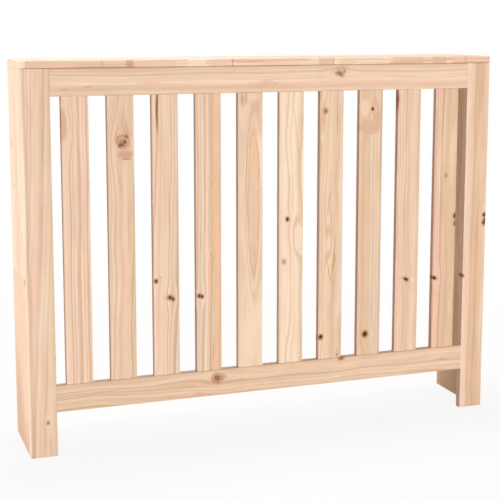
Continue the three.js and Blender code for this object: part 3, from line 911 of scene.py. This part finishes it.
lower_half = add(rule, "GeometryNodeFlipFaces", {"Mesh": lower_half})
halves = add(rule, "GeometryNodeJoinGeometry")
rule.links.new(upper_half.outputs["Mesh"], halves.inputs[0])
rule.links.new(lower_half.outputs[0], halves.inputs[0])
whole_slat = add(rule, "GeometryNodeMergeByDistance", {"Geometry": halves, "Distance": 0.01 * mm})
step = add(rule, "ShaderNodeCombineXYZ", {"X": given.outputs["Pitch"]})
row = add(rule, "GeometryNodeMeshLine", {"Count": given.outputs["Count"], "Offset": step}, mode="OFFSET")
number = add(rule, "GeometryNodeInputIndex")
numbered = {"Geometry": row, "Name": "slat_number", "Value": number}
numbered = add(rule, "GeometryNodeStoreNamedAttribute", numbered, data_type="INT", domain="POINT")
placed = add(rule, "GeometryNodeInstanceOnPoints", {"Points": numbered, "Instance": whole_slat})
real = add(rule, "GeometryNodeRealizeInstances", {"Geometry": placed})
coated = add(rule, "GeometryNodeSetMaterial", {"Geometry": real, "Material": given.outputs["Material"]})
add(rule, "NodeGroupOutput", {0: coated})
print("the slat tree has", len(rule.nodes), "nodes")

# %% [markdown]
# ## The wood of each slat
# No two slats come from the same part of a log. Each entry says where its slat's pith lay and how wide
# its rings are, which tones lie across it, and which knots and stains set it apart from its neighbours.
# Places on a slat are in millimetres to the right of and above the middle of its face.

# %% Ten kinds of grain
slat_pine = {
    # Even, straight lines that fan out round a tan oval, which the left edge cuts near the top.
    "slat_01": dict(
        pith=(-140, 30), ring_width=10.0, wander=4.0, contrast=1.15,
        bands=[(0.0, "shell"), (0.3, "sand"), (0.55, "shell"), (0.75, "shell"), (1.0, "sand")],
        bends=[dict(at=(-26, 250), half=(40, 110), years=-1.6)],
        marks=[
            stain_at("clay", (-27, 248), (13, 40), 0.95, crisp=0.7),
            streak_at((-12, 262), 44, 0.4, turn=-0.12),
            streak_at((4, 220), 100, 0.4, wide=1.6, turn=-0.05),
            streak_at((0, -60), 300, 0.35, wide=1.6),
            streak_at((12, 40), 280, 0.35, wide=1.6),
            streak_at((7, -291), 4, 0.8, wide=1.4),
        ],
    ),
    # The cabinet's largest knot, with its grain thrown aside above and below.
    "slat_02": dict(
        pith=(-90, 50), lean=(0.02, 0.0), ring_width=9.5, wander=6.0, contrast=0.9,
        bands=[
            (0.0, "sand"), (0.25, "sand"), (0.45, "rose"), (0.65, "sand"), (0.85, "tan"), (1.0, "oatmeal"),
        ],
        knots=[
            knot_at((4, 205), 6.2, reach=5.5, pull=0.9, look="faint", oval=0.9),
            knot_at((-1, 201), 2.3, pull=0.0, dark=0.8),
            knot_at((4, 203), 2.3, pull=0.0, dark=0.65),
            knot_at((9, 209), 2.3, pull=0.0, dark=0.8),
            knot_at((13, 219), 3.0, pull=0.0, look="faint", dark=0.7),
        ],
        marks=[
            stain_at("clay", (-6, 268), (26, 60), 0.4),
            stain_at("rose", (20, 226), (9, 16), 0.9),
            stain_at("resin", (19, 226), (9, 9), 0.3),
            stain_at("resin", (7, 234), (8, 26), 0.45),
            stain_at("resin", (4, 208), (15.5, 17), 0.7, crisp=0.85),
            stain_at("clay", (4, 205), (13, 15), 0.85, crisp=0.8),
            stain_at("clay", (8, 182), (20, 10), 0.95, crisp=0.8),
            stain_at("resin", (8, 182), (18, 9), 0.25, crisp=0.5),
            stain_at("resin", (9, 172), (16, 2), 0.9, crisp=0.3),
            stain_at("rose", (-18, 200), (7, 14), 0.8),
            streak_at((-9, 226), 26, 0.7, wide=1.6, turn=0.35),
            streak_at((12, 246), 26, 0.6, wide=1.6, turn=-0.2),
            streak_at((4, 262), 40, 0.45, turn=0.12),
            streak_at((-4, 130), 50, 0.4, turn=-0.15),
            streak_at((14, 30), 110, 0.35, wide=2.4),
            stain_at("straw", (20, 120), (6, 60), 0.8),
        ],
    ),
    # A brown resin streak from the top, and two small knots below the middle.
    "slat_03": dict(
        pith=(-110, 40), lean=(0.03, 0.0), ring_width=9.5, wander=5.0, contrast=1.2,
        bands=[(0.0, "shell"), (0.25, "sand"), (0.5, "sand"), (0.7, "sand"), (1.0, "oatmeal")],
        knots=[
            knot_at((-23, -96), 2.6, dark=0.95),
            knot_at((9, -135), 4.0, turn=0.4, oval=0.8),
            knot_at((15, -139), 2.4, pull=0.0, dark=0.85),
        ],
        marks=[
            stain_at("resin", (-16, 270), (4.6, 92), 0.9, crisp=0.2),
            stain_at("bark", (-16, 280), (2.2, 66), 0.85, crisp=0.2),
            stain_at("rose", (-17, 200), (3, 50), 0.9),
            stain_at("resin", (6, -133), (13, 10), 0.6),
            stain_at("rose", (10, 300), (20, 60), 0.5),
            streak_at((-2, 110), 130, 0.35, turn=0.02),
            streak_at((7, 60), 120, 0.35, turn=-0.03),
            stain_at("resin", (-14, -88), (5, 4), 0.5),
        ],
    ),
    # Sand to orange across its width, with two faint ovals and one dark knot at the left.
    "slat_04": dict(
        pith=(120, 30), lean=(0.01, 0.0), ring_width=9.0, wander=3.5,
        bands=[
            (0.0, "sand"), (0.2, "oatmeal"), (0.42, "shell"), (0.58, "tan"), (0.8, "apricot"), (1.0, "tan"),
        ],
        knots=[
            knot_at((-21, -136), 3.8, turn=0.4, oval=0.8),
            knot_at((-15, -138), 2.2, pull=0.0),
        ],
        bends=[
            dict(at=(7, 109), half=(8, 34), years=1.2),
            dict(at=(7, -45), half=(12, 30), years=1.5),
        ],
        marks=[
            stain_at("cream", (-12, 60), (3, 230), 0.7),
            streak_at((-19, -20), 60, 0.4, turn=0.06),
            stain_at("resin", (7, 109), (4, 16), 0.4),
            stain_at("resin", (8, -60), (3, 34), 0.35),
            stain_at("shell", (-12, -146), (13, 9), 0.9),
            streak_at((11, -260), 45, 0.5, wide=1.4),
            stain_at("clay", (6, 0), (3, 300), 0.4),
        ],
    ),
    # Long nested ovals, where the face only just cuts through a year's growth.
    "slat_05": dict(
        pith=(-6, 150), lean=(0.0, 0.01), ring_width=6.5, wander=5.0, contrast=1.8,
        bands=[(0.0, "sand"), (0.2, "sand"), (0.5, "sand"), (0.75, "sand"), (1.0, "cream")],
        bends=[dict(at=(6, 60), half=(24, 290), years=3.4)],
        marks=[
            stain_at("clay", (-15, 290), (10, 17), 0.8, crisp=0.3),
            stain_at("resin", (-19, 292), (3, 24), 0.7),
            stain_at("resin", (-9, 296), (3, 15), 0.6),
            stain_at("shell", (8, 296), (16, 12), 0.8),
            stain_at("clay", (6, 70), (13, 215), 0.45, crisp=0.8),
            stain_at("apricot", (8, 165), (8, 75), 1.0, crisp=0.5),
            streak_at((-9, 150), 100, 0.6, turn=0.03),
            streak_at((-6, 60), 50, 0.5, turn=-0.04),
            streak_at((18, 60), 160, 0.5, wide=1.6),
            stain_at("clay", (10, -56), (5, 36), 0.8),
            streak_at((9, -104), 22, 0.6, wide=2),
            stain_at("cream", (0, -230), (34, 170), 0.75),
            stain_at("clay", (-12, -170), (1.8, 60), 0.7, turn=0.05),
            stain_at("apricot", (11, -298), (8, 24), 0.8),
        ],
    ),
    # The palest slat, with one neat knot, a long open loop beside it and a faint knot below.
    "slat_06": dict(
        pith=(-40, 90), lean=(0.01, 0.0), ring_width=7.5, wander=6.0, contrast=0.8,
        bands=[(0.0, "sand"), (0.15, "cream"), (0.5, "cream"), (0.7, "cream"), (1.0, "cream")],
        knots=[
            knot_at((-9, 23), 2.7),
            knot_at((-17, -73), 3.0, look="faint", dark=0.8),
        ],
        bends=[dict(at=(15, -20), half=(18, 75), years=1.5)],
        marks=[
            stain_at("clay", (16, -18), (15, 46), 0.6, crisp=0.7),
            stain_at("cream", (17, -18), (12, 40), 0.8, crisp=0.6),
            stain_at("rose", (-8, 12), (9, 14), 0.6),
            streak_at((16, 190), 100, 0.4, turn=-0.12),
            stain_at("clay", (6, 260), (1.8, 60), 0.5, turn=-0.1),
            stain_at("clay", (-12, -190), (1.8, 110), 0.6, turn=0.04),
        ],
    ),
    # Yellowish in the middle, a pinkish knot high up, a wavy flame below it and a dark knot low down.
    "slat_07": dict(
        pith=(34, 60), lean=(0.0, 0.015), ring_width=6.0, wander=6.0, contrast=0.9,
        bands=[
            (0.0, "rose"), (0.2, "sand"), (0.5, "straw"), (0.65, "tan"), (0.85, "sand"), (1.0, "oatmeal"),
        ],
        knots=[
            knot_at((-15, 262), 3.4, look="faint", reach=4.0),
            knot_at((-23, -254), 3.4),
            knot_at((18, -299), 1.5, look="faint", dark=0.7),
        ],
        bends=[dict(at=(2, -30), half=(20, 130), years=1.3)],
        marks=[
            stain_at("clay", (-20, 250), (12, 44), 0.8, crisp=0.4),
            stain_at("cream", (-22, 201), (7, 12), 0.8),
            stain_at("straw", (-4, 236), (5, 90), 0.95),
            streak_at((14, 250), 70, 0.8, wide=1.7),
            streak_at((20, 230), 90, 0.3, wide=1.6),
            streak_at((-4, 60), 50, 0.55, wide=2.4, turn=0.14),
            streak_at((3, 10), 60, 0.6, wide=2.2, turn=-0.1),
            streak_at((9, -70), 60, 0.6, wide=2.2, turn=0.09),
            streak_at((-5, -100), 44, 0.6, wide=2.0, turn=-0.16),
            streak_at((6, -90), 30, 0.8, wide=2.4, turn=0.12),
            streak_at((11, -70), 18, 0.7, wide=2, turn=-0.1),
            streak_at((3, -122), 20, 0.6, wide=2.2, turn=-0.25),
            stain_at("clay", (-3, -202), (6, 26), 0.6),
        ],
    ),
    # A tiny black knot in a brown stain near the top, and a round knot near the foot.
    "slat_08": dict(
        pith=(-100, 60), lean=(0.0, 0.01), ring_width=9.5, wander=4.0, contrast=0.8,
        bands=[(0.0, "rose"), (0.15, "tan"), (0.45, "tan"), (0.7, "oatmeal"), (1.0, "tan")],
        knots=[
            knot_at((4, 264), 2.2),
            knot_at((-8, -257), 4.6, oval=1.1),
        ],
        marks=[
            stain_at("clay", (13, 256), (10, 38), 0.95, crisp=0.85, turn=-0.1),
            stain_at("clay", (-7, 222), (27, 16), 0.95, crisp=0.85, turn=0.25),
            stain_at("clay", (12, 232), (10, 20), 0.9, crisp=0.8),
            stain_at("sand", (-16, 266), (14, 24), 0.9, crisp=0.6),
            stain_at("rose", (-25, 200), (9, 16), 0.95, crisp=0.5),
            stain_at("rose", (10, 262), (8, 10), 0.8),
            stain_at("clay", (-15, 120), (3, 70), 0.8, turn=-0.04),
            stain_at("clay", (-17, 10), (3, 90), 0.6),
        ],
    ),
    # A brown, then pink left edge, and one knot below the middle.
    "slat_09": dict(
        pith=(-80, 40), lean=(0.01, 0.0), ring_width=8.5, wander=4.5, contrast=0.7,
        bands=[(0.0, "rose"), (0.16, "sand"), (0.4, "tan"), (0.75, "sand"), (1.0, "tan")],
        knots=[
            knot_at((-1, -135), 4.4, turn=0.5, oval=0.62),
        ],
        marks=[
            stain_at("resin", (-29, 280), (4, 36), 1.0, crisp=0.3),
            stain_at("rose", (-27, 230), (5, 60), 0.95),
            stain_at("resin", (-10, -130), (15, 4), 0.35),
            stain_at("clay", (-1, -148), (7, 12), 0.6),
            stain_at("cream", (12, -136), (7, 7), 0.6),
            stain_at("clay", (0, 60), (2, 240), 0.5),
            stain_at("clay", (13, 60), (2, 240), 0.5),
        ],
    ),
    # Pink to orange across its width, with knots cut through by both edges.
    "slat_10": dict(
        pith=(110, 40), lean=(0.01, 0.0), ring_width=8.5, wander=4.5, contrast=0.8,
        bands=[(0.0, "rose"), (0.2, "rose"), (0.45, "tan"), (0.75, "tan"), (1.0, "tan")],
        knots=[
            knot_at((2, 104), 2.6, look="faint", dark=0.7),
            knot_at((28, 8), 3.6, oval=1.3),
            knot_at((28, -10), 2.8, oval=1.5, dark=0.8, pull=0.0),
            knot_at((-24, -137), 4.2, turn=0.4, oval=0.7),
        ],
        marks=[
            stain_at("tan", (6, 120), (8, 170), 0.5),
            stain_at("clay", (20, -40), (8, 60), 0.5),
            streak_at((10, -190), 100, 0.35),
        ],
    ),
}
print("knots in the slats:", [len(wood.get("knots", ())) for wood in slat_pine.values()])

# %% Grow the row and cut it into slats
row_object = object_from(bmesh.new(), "slat_row")
growth = row_object.modifiers.new("slat_row", "NODES")
growth.node_group = rule
for label, value in sizes.items():
    growth[size_sockets[label].identifier] = value
growth[count_socket.identifier] = slat_count
# The tree needs a material here, but each slat gets its own once the row is cut.
growth[material_socket.identifier] = floor_paint
bake_modifiers(row_object)
row_place = Vector((front_middle(slat_names[0]).x, frame_middle_y, (slat_low.z + slat_high.z) / 2))
row_object.data.transform(Matrix.Translation(row_place))

for number, name in enumerate(slat_names):
    made = bmesh.new()
    made.from_mesh(row_object.data)
    slat_number = made.verts.layers.int["slat_number"]
    others = [vert for vert in made.verts if vert[slat_number] != number]
    bmesh.ops.delete(made, geom=others, context="VERTS")
    made.verts.layers.int.remove(slat_number)
    piece = object_from(made, name + "_blank")
    wood = planed_pine("pine_" + name, front_middle(name), upright, stock_width, seed=10 + number,
                       **slat_pine[name])
    finish_board(piece, name, wood)
bpy.data.objects.remove(row_object)
print("slats:", len(slat_names), "with", len(piece.data.polygons), "faces each")

# %% [markdown]
# ## Side panels and top board
# Wide pine boards are made by gluing narrow staves edge to edge, and each stave is itself made of short
# blocks joined end to end by little wedge-shaped fingers. So the grain and the tone jump from stave to
# stave and from block to block.

# %% The staved boards
stave_width = 43.0
block_length = 430.0
top_block_length = 200.0
front_edge = -95.0
patch_half_width = 9.0
# Patches along the top board's front edge: middle and half length in millimetres, tone and strength.
front_edge_patches = [
    (-478, 48, "rose", 0.8), (-375, 3, "clay", 0.9), (-316, 9, "resin", 0.45), (-258, 50, "rose", 0.8),
    (-170, 22, "cream", 0.8), (-118, 27, "rose", 0.8), (-89, 2, "resin", 0.5), (20, 50, "rose", 0.6),
    (127, 18, "clay", 0.7), (146, 2, "resin", 0.5), (180, 22, "straw", 0.9), (330, 45, "clay", 0.6),
    (410, 20, "clay", 0.8), (478, 3, "clay", 0.9),
]
board_pine = {
    # Cream above, and one row of peach blocks below that darkens towards its foot at the back.
    "left_side_panel": dict(
        bands=[(0.0, "cream"), (0.5, "cream"), (0.7, "shell"), (1.0, "cream")], seed=31, contrast=0.6,
        marks=[
            stain_at("apricot", (0, -627), (1200, 600), 0.3, crisp=0.985),
            stain_at("rose", (0, -627), (1200, 600), 0.35, crisp=0.985),
            stain_at("rose", (60, -200), (60, 90), 0.9),
            # The next two make the lower rear of the panel darker towards its foot.
            stain_at("clay", (50, -340), (90, 150), 0.95, crisp=0.3),
            stain_at("clay", (-20, -420), (160, 90), 0.8, crisp=0.3),
            stain_at("clay", (48, 247), (16, 18), 0.8),
            stain_at("resin", (28, 158), (46, 2.5), 0.45),
            stain_at("resin", (-78, -34), (16, 11), 0.8),
            stain_at("resin", (-50, -88), (22, 2.5), 0.4),
        ],
    ),
    # Plain peach blocks, toned deeper than the left panel's cream so that the shaded inside looks dark and
    # warm: partly the wood's tone, partly painted shade.
    "right_side_panel": dict(
        bands=[(0.0, "tan"), (0.4, "apricot"), (0.7, "tan"), (1.0, "sand")], seed=32,
    ),
    # Pink and cream blocks, a pale left end, and patches along the front edge.
    "top_board": dict(
        bands=[(0.0, "shell"), (0.3, "rose"), (0.6, "sand"), (0.8, "cream"), (1.0, "tan")], seed=33,
        contrast=0.8,
        marks=[
            stain_at("cream", (0, -547), (200, 16), 0.95, crisp=0.9),
            *[stain_at(tone, (front_edge, middle), (patch_half_width, half), strength, crisp=0.8)
              for middle, half, tone, strength in front_edge_patches],
        ],
    ),
}
print("the staves are", stave_width, "mm wide")

# %% Glue up the two sides and the top
joint_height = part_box("top_board")[0].z


def clear_of_joint(middle, way):
    """False for the edges along the joint between a side panel and the top board's end."""
    return abs(middle.z - joint_height) > 1 * mm or abs(way.y) < 0.5


for name, ways, length in (
    ("left_side_panel", "YXZ", block_length),
    ("right_side_panel", "YXZ", block_length),
    ("top_board", "YZX", top_block_length),
):
    low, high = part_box(name)
    wood = planed_pine("pine_staves_" + name, (low + high) / 2, ways, high.y - low.y, pith=(75, 60),
                       staves=(stave_width, length), wander=6.0, **board_pine[name])
    make_board(name, wood, clear_of_joint)

# %% [markdown]
# ## Metal and beech inside
# Cams, bolts, brackets and screws hold the boards together. Cams are die-cast in zinc, with the grey,
# slightly grainy skin of a casting. Brackets, screws and bolts are steel with a thin, bright plating of
# zinc. Dowels are beech, which has short dark flecks in place of pine's rings.

# %% Finishes for the fittings
def metal(name, tone, rough_from, rough_to, grain, depth):
    """A bare metal whose gloss and skin vary over spots of grain millimetres, depth millimetres deep."""
    material = blank_material(name)
    tree = material.node_tree
    place = add(tree, "ShaderNodeTexCoord").outputs["Object"]
    spots = add(tree, "ShaderNodeTexNoise", {"Vector": place, "Scale": 1 / (grain * mm), "Detail": 3.0})
    rough = {"Value": spots, "From Min": 0.3, "From Max": 0.7, "To Min": rough_from, "To Max": rough_to}
    rough = add(tree, "ShaderNodeMapRange", rough)
    skin = add(tree, "ShaderNodeBump", {"Height": spots, "Strength": 0.5, "Distance": depth * mm})
    surface = {"Base Color": linear(tone), "Metallic": 1.0, "Roughness": rough, "Normal": skin}
    surface = add(tree, "ShaderNodeBsdfPrincipled", surface)
    add(tree, "ShaderNodeOutputMaterial", {"Surface": surface})
    return material


cast_zinc = metal("die_cast_zinc", "#A9ABAD", rough_from=0.38, rough_to=0.55, grain=0.8, depth=0.04)
plated_steel = metal("bright_zinc_plated_steel", "#C3C8CB", rough_from=0.2, rough_to=0.36, grain=2.5,
                     depth=0.01)

beech = blank_material("turned_beech")
tree = beech.node_tree
place = add(tree, "ShaderNodeTexCoord").outputs["Object"]
fleck_sizes = (3 * mm, 0.5 * mm, 0.5 * mm)
flecks = {"Vector": place, "Scale": [1 / size for size in fleck_sizes]}
flecks = add(tree, "ShaderNodeMapping", flecks)
flecks = add(tree, "ShaderNodeTexNoise", {"Vector": flecks, "Scale": 1.0, "Detail": 2.0})
wood = [(0.35, linear("#D9B48C")), (0.62, linear("#CFA67D")), (0.72, linear("#A97C55"))]
wood = add(tree, "ShaderNodeValToRGB", {"Fac": flecks}, wood)
surface = {"Base Color": wood, "Roughness": 0.6, "Specular IOR Level": 0.25}
surface = add(tree, "ShaderNodeBsdfPrincipled", surface)
add(tree, "ShaderNodeOutputMaterial", {"Surface": surface})

# Dowels and cam bolts keep the shapes that they were packed with, and only take a finish.
only_coated = {"dowel": beech, "cam_bolt": plated_steel}
for name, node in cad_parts.items():
    for word, material in only_coated.items():
        if word in name:
            coat(node.data, material)
print("finishes:", cast_zinc.name, plated_steel.name, beech.name)

# %% [markdown]
# ## Turned fittings
# A screw or a cam is turned from a profile, just as on a lathe: half its outline is drawn beside the
# axis and spun round it. The cross for the screwdriver is then sunk in with two crossed blocks.

# %% A lathe and a place to put what it makes
def turned(profile, steps=40):
    """The closed solid that (radius, height) points, in millimetres, make round the Z axis."""
    made = bmesh.new()
    points = [made.verts.new((radius * mm, 0.0, height * mm)) for radius, height in profile]
    lines = [made.edges.new(pair) for pair in zip(points, points[1:])]
    bmesh.ops.spin(made, geom=points + lines, axis=(0, 0, 1), cent=(0, 0, 0), angle=2 * math.pi,
                   steps=steps, use_merge=True)
    bmesh.ops.remove_doubles(made, verts=made.verts, dist=0.001 * mm)
    bmesh.ops.recalc_face_normals(made, faces=made.faces)
    return made


def cross_cutters(length, width, low, high):
    """Two crossed blocks, in millimetres, between two heights."""
    cutters = []
    for x, y in ((length, width), (width, length)):
        half = Vector((x, y, 0.0)) * mm / 2
        cutters.append(block(Vector((0.0, 0.0, low * mm)) - half, Vector((0.0, 0.0, high * mm)) + half))
    return cutters


def set_fitting(pattern, node, where, material):
    """Puts a copy of a pattern mesh where it belongs, in place of a node."""
    mesh = pattern.data.copy()
    mesh.transform(where)
    coat(mesh, material)
    piece = bpy.data.objects.new("fitted_" + node, mesh)
    bpy.context.scene.collection.objects.link(piece)
    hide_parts(node)
    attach(piece, "root")


# %% Eight cams, flush with the side panels' inner faces
cam_low, cam_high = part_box(cam_names[0])
cam_radius = (cam_high.z - cam_low.z) / mm / 2
cam_depth = (cam_high.x - cam_low.x) / mm
# From the back of the cam to its face, which has a chamfered rim and a shallow ring.
cam_profile = [
    (0.0, -cam_depth), (cam_radius - 0.6, -cam_depth), (cam_radius, -cam_depth + 0.6), (cam_radius, -0.4),
    (cam_radius - 0.4, 0.0), (cam_radius - 1.3, 0.0), (cam_radius - 1.5, -0.35), (cam_radius - 1.9, -0.35),
    (cam_radius - 2.1, 0.0), (0.0, 0.0),
]
cam = object_from(turned(cam_profile), "cam_pattern")
carve(cam, cross_cutters(length=9.0, width=1.8, low=-1.6, high=1.0))
shade(cam, crease=32)
print(len(cam_names), "cams of", len(cam.data.polygons), "faces")
for name in cam_names:
    low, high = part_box(name)
    middle = (low + high) / 2
    outwards = Vector((1.0, 0.0, 0.0)) if middle.x < 0 else Vector((-1.0, 0.0, 0.0))
    face = middle + outwards * (high.x - low.x) / 2
    set_fitting(cam, name, Matrix.Translation(face) @ pointed(outwards), cast_zinc)
bpy.data.objects.remove(cam)

# %% Four bracket screws, driven up into the top board
screw_names = sorted(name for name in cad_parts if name.startswith("bracket_screw_"))
screw_low, screw_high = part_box(screw_names[0])
screw_length = (screw_high.z - screw_low.z) / mm
head_height = 2.4
head_radius = (screw_high.x - screw_low.x) / mm / 2
thread_radius = 1.8
thread_root = 1.25
thread_pitch = 1.2
# A domed head, then closed ridges in place of the thread's helix.
screw_profile = [
    (0.0, 0.0), (1.8, 0.05), (2.9, 0.4), (3.6, 1.1), (head_radius, 2.0), (head_radius, head_height),
    (thread_root, head_height),
]
plain_neck = 0.6
height = head_height + plain_neck
while height + 3 * thread_pitch < screw_length:
    screw_profile.append((thread_root, height))
    screw_profile.append((thread_radius, height + 0.5 * thread_pitch))
    height += thread_pitch
screw_profile.append((thread_root, height))
screw_profile.append((0.0, screw_length))
screw = object_from(turned(screw_profile, steps=28), "screw_pattern")
carve(screw, cross_cutters(length=4.4, width=0.9, low=-1.0, high=1.4))
shade(screw, crease=32)
for name in screw_names:
    low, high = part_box(name)
    foot = Vector(((low.x + high.x) / 2, (low.y + high.y) / 2, low.z))
    set_fitting(screw, name, Matrix.Translation(foot), plated_steel)
bpy.data.objects.remove(screw)
print(len(screw_names), "screws", round(screw_length, 1), "mm long")

# %% [markdown]
# ## Two wall brackets
# Each bracket is a strip of 2 mm steel, punched and then bent square over a former, so its outer corner
# is rounder than its inner one. Its ends are rounded so that they don't scratch the wall.

# %% Bend and punch the brackets
sheet = 2.0 * mm
bend_radius = 1.2 * mm
end_radius = 3.0 * mm
hole_radius = 2.5 * mm


def bracket(node):
    """One bent strip: a seat below the top board and a leg down the wall."""
    low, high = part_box(node)
    centre_y = high.y - sheet - bend_radius
    centre_z = high.z - sheet - bend_radius
    quarter = [math.radians(90 - step * 15) for step in range(7)]

    def arc(radius):
        return [(centre_y + radius * math.cos(a), centre_z + radius * math.sin(a)) for a in quarter]

    outline = [(low.y, high.z), (low.y, high.z - sheet), *arc(bend_radius)]
    outline += [(high.y - sheet, low.z), (high.y, low.z), *reversed(arc(bend_radius + sheet))]
    made = bmesh.new()
    side = made.faces.new([made.verts.new((low.x, y, z)) for y, z in outline])
    swept = bmesh.ops.extrude_face_region(made, geom=[side])["geom"]
    moved = [item for item in swept if isinstance(item, bmesh.types.BMVert)]
    bmesh.ops.translate(made, verts=moved, vec=(high.x - low.x, 0.0, 0.0))
    bmesh.ops.recalc_face_normals(made, faces=made.faces)
    corners = []
    near = 0.1 * mm
    for edge in made.edges:
        middle = (edge.verts[0].co + edge.verts[1].co) / 2
        at_seat_end = abs(middle.y - low.y) < near
        at_leg_end = abs(middle.z - low.z) < near
        at_side = min(abs(middle.x - low.x), abs(middle.x - high.x)) < near
        if at_side and (at_seat_end or at_leg_end):
            corners.append(edge)
    bmesh.ops.bevel(made, geom=corners, offset=end_radius, segments=5, profile=0.5, affect="EDGES")
    return object_from(made, node + "_blank")


def hole(place, axis):
    """A punch for a screw hole at a place, along an axis."""
    return rod(hole_radius, 4 * sheet, Matrix.Translation(place) @ pointed(axis))


wall_hole_rise = 14 * mm
for name in sorted(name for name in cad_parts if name.startswith("wall_bracket_")):
    low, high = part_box(name)
    middle_x = (low.x + high.x) / 2
    piece = bracket(name)
    punches = [hole((middle_x, high.y - sheet / 2, low.z + wall_hole_rise), (0, 1, 0))]
    for screw_name in screw_names:
        if overlaps(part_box(screw_name), (low, high)):
            screw_low, screw_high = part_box(screw_name)
            screw_y = (screw_low.y + screw_high.y) / 2
            punches.append(hole((middle_x, screw_y, high.z - sheet / 2), (0, 0, 1)))
    carve(piece, punches)
    softened = piece.modifiers.new("tumbled_edges", "BEVEL")
    softened.width = 0.25 * mm
    softened.segments = 2
    softened.limit_method = "ANGLE"
    softened.angle_limit = math.radians(50)
    bake_modifiers(piece)
    shade(piece, crease=40)
    coat(piece.data, plated_steel)
    piece.name = "bent_" + name
    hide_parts(name)
    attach(piece, "root")
    print(piece.name, "has", len(punches), "holes and", len(piece.data.polygons), "faces")
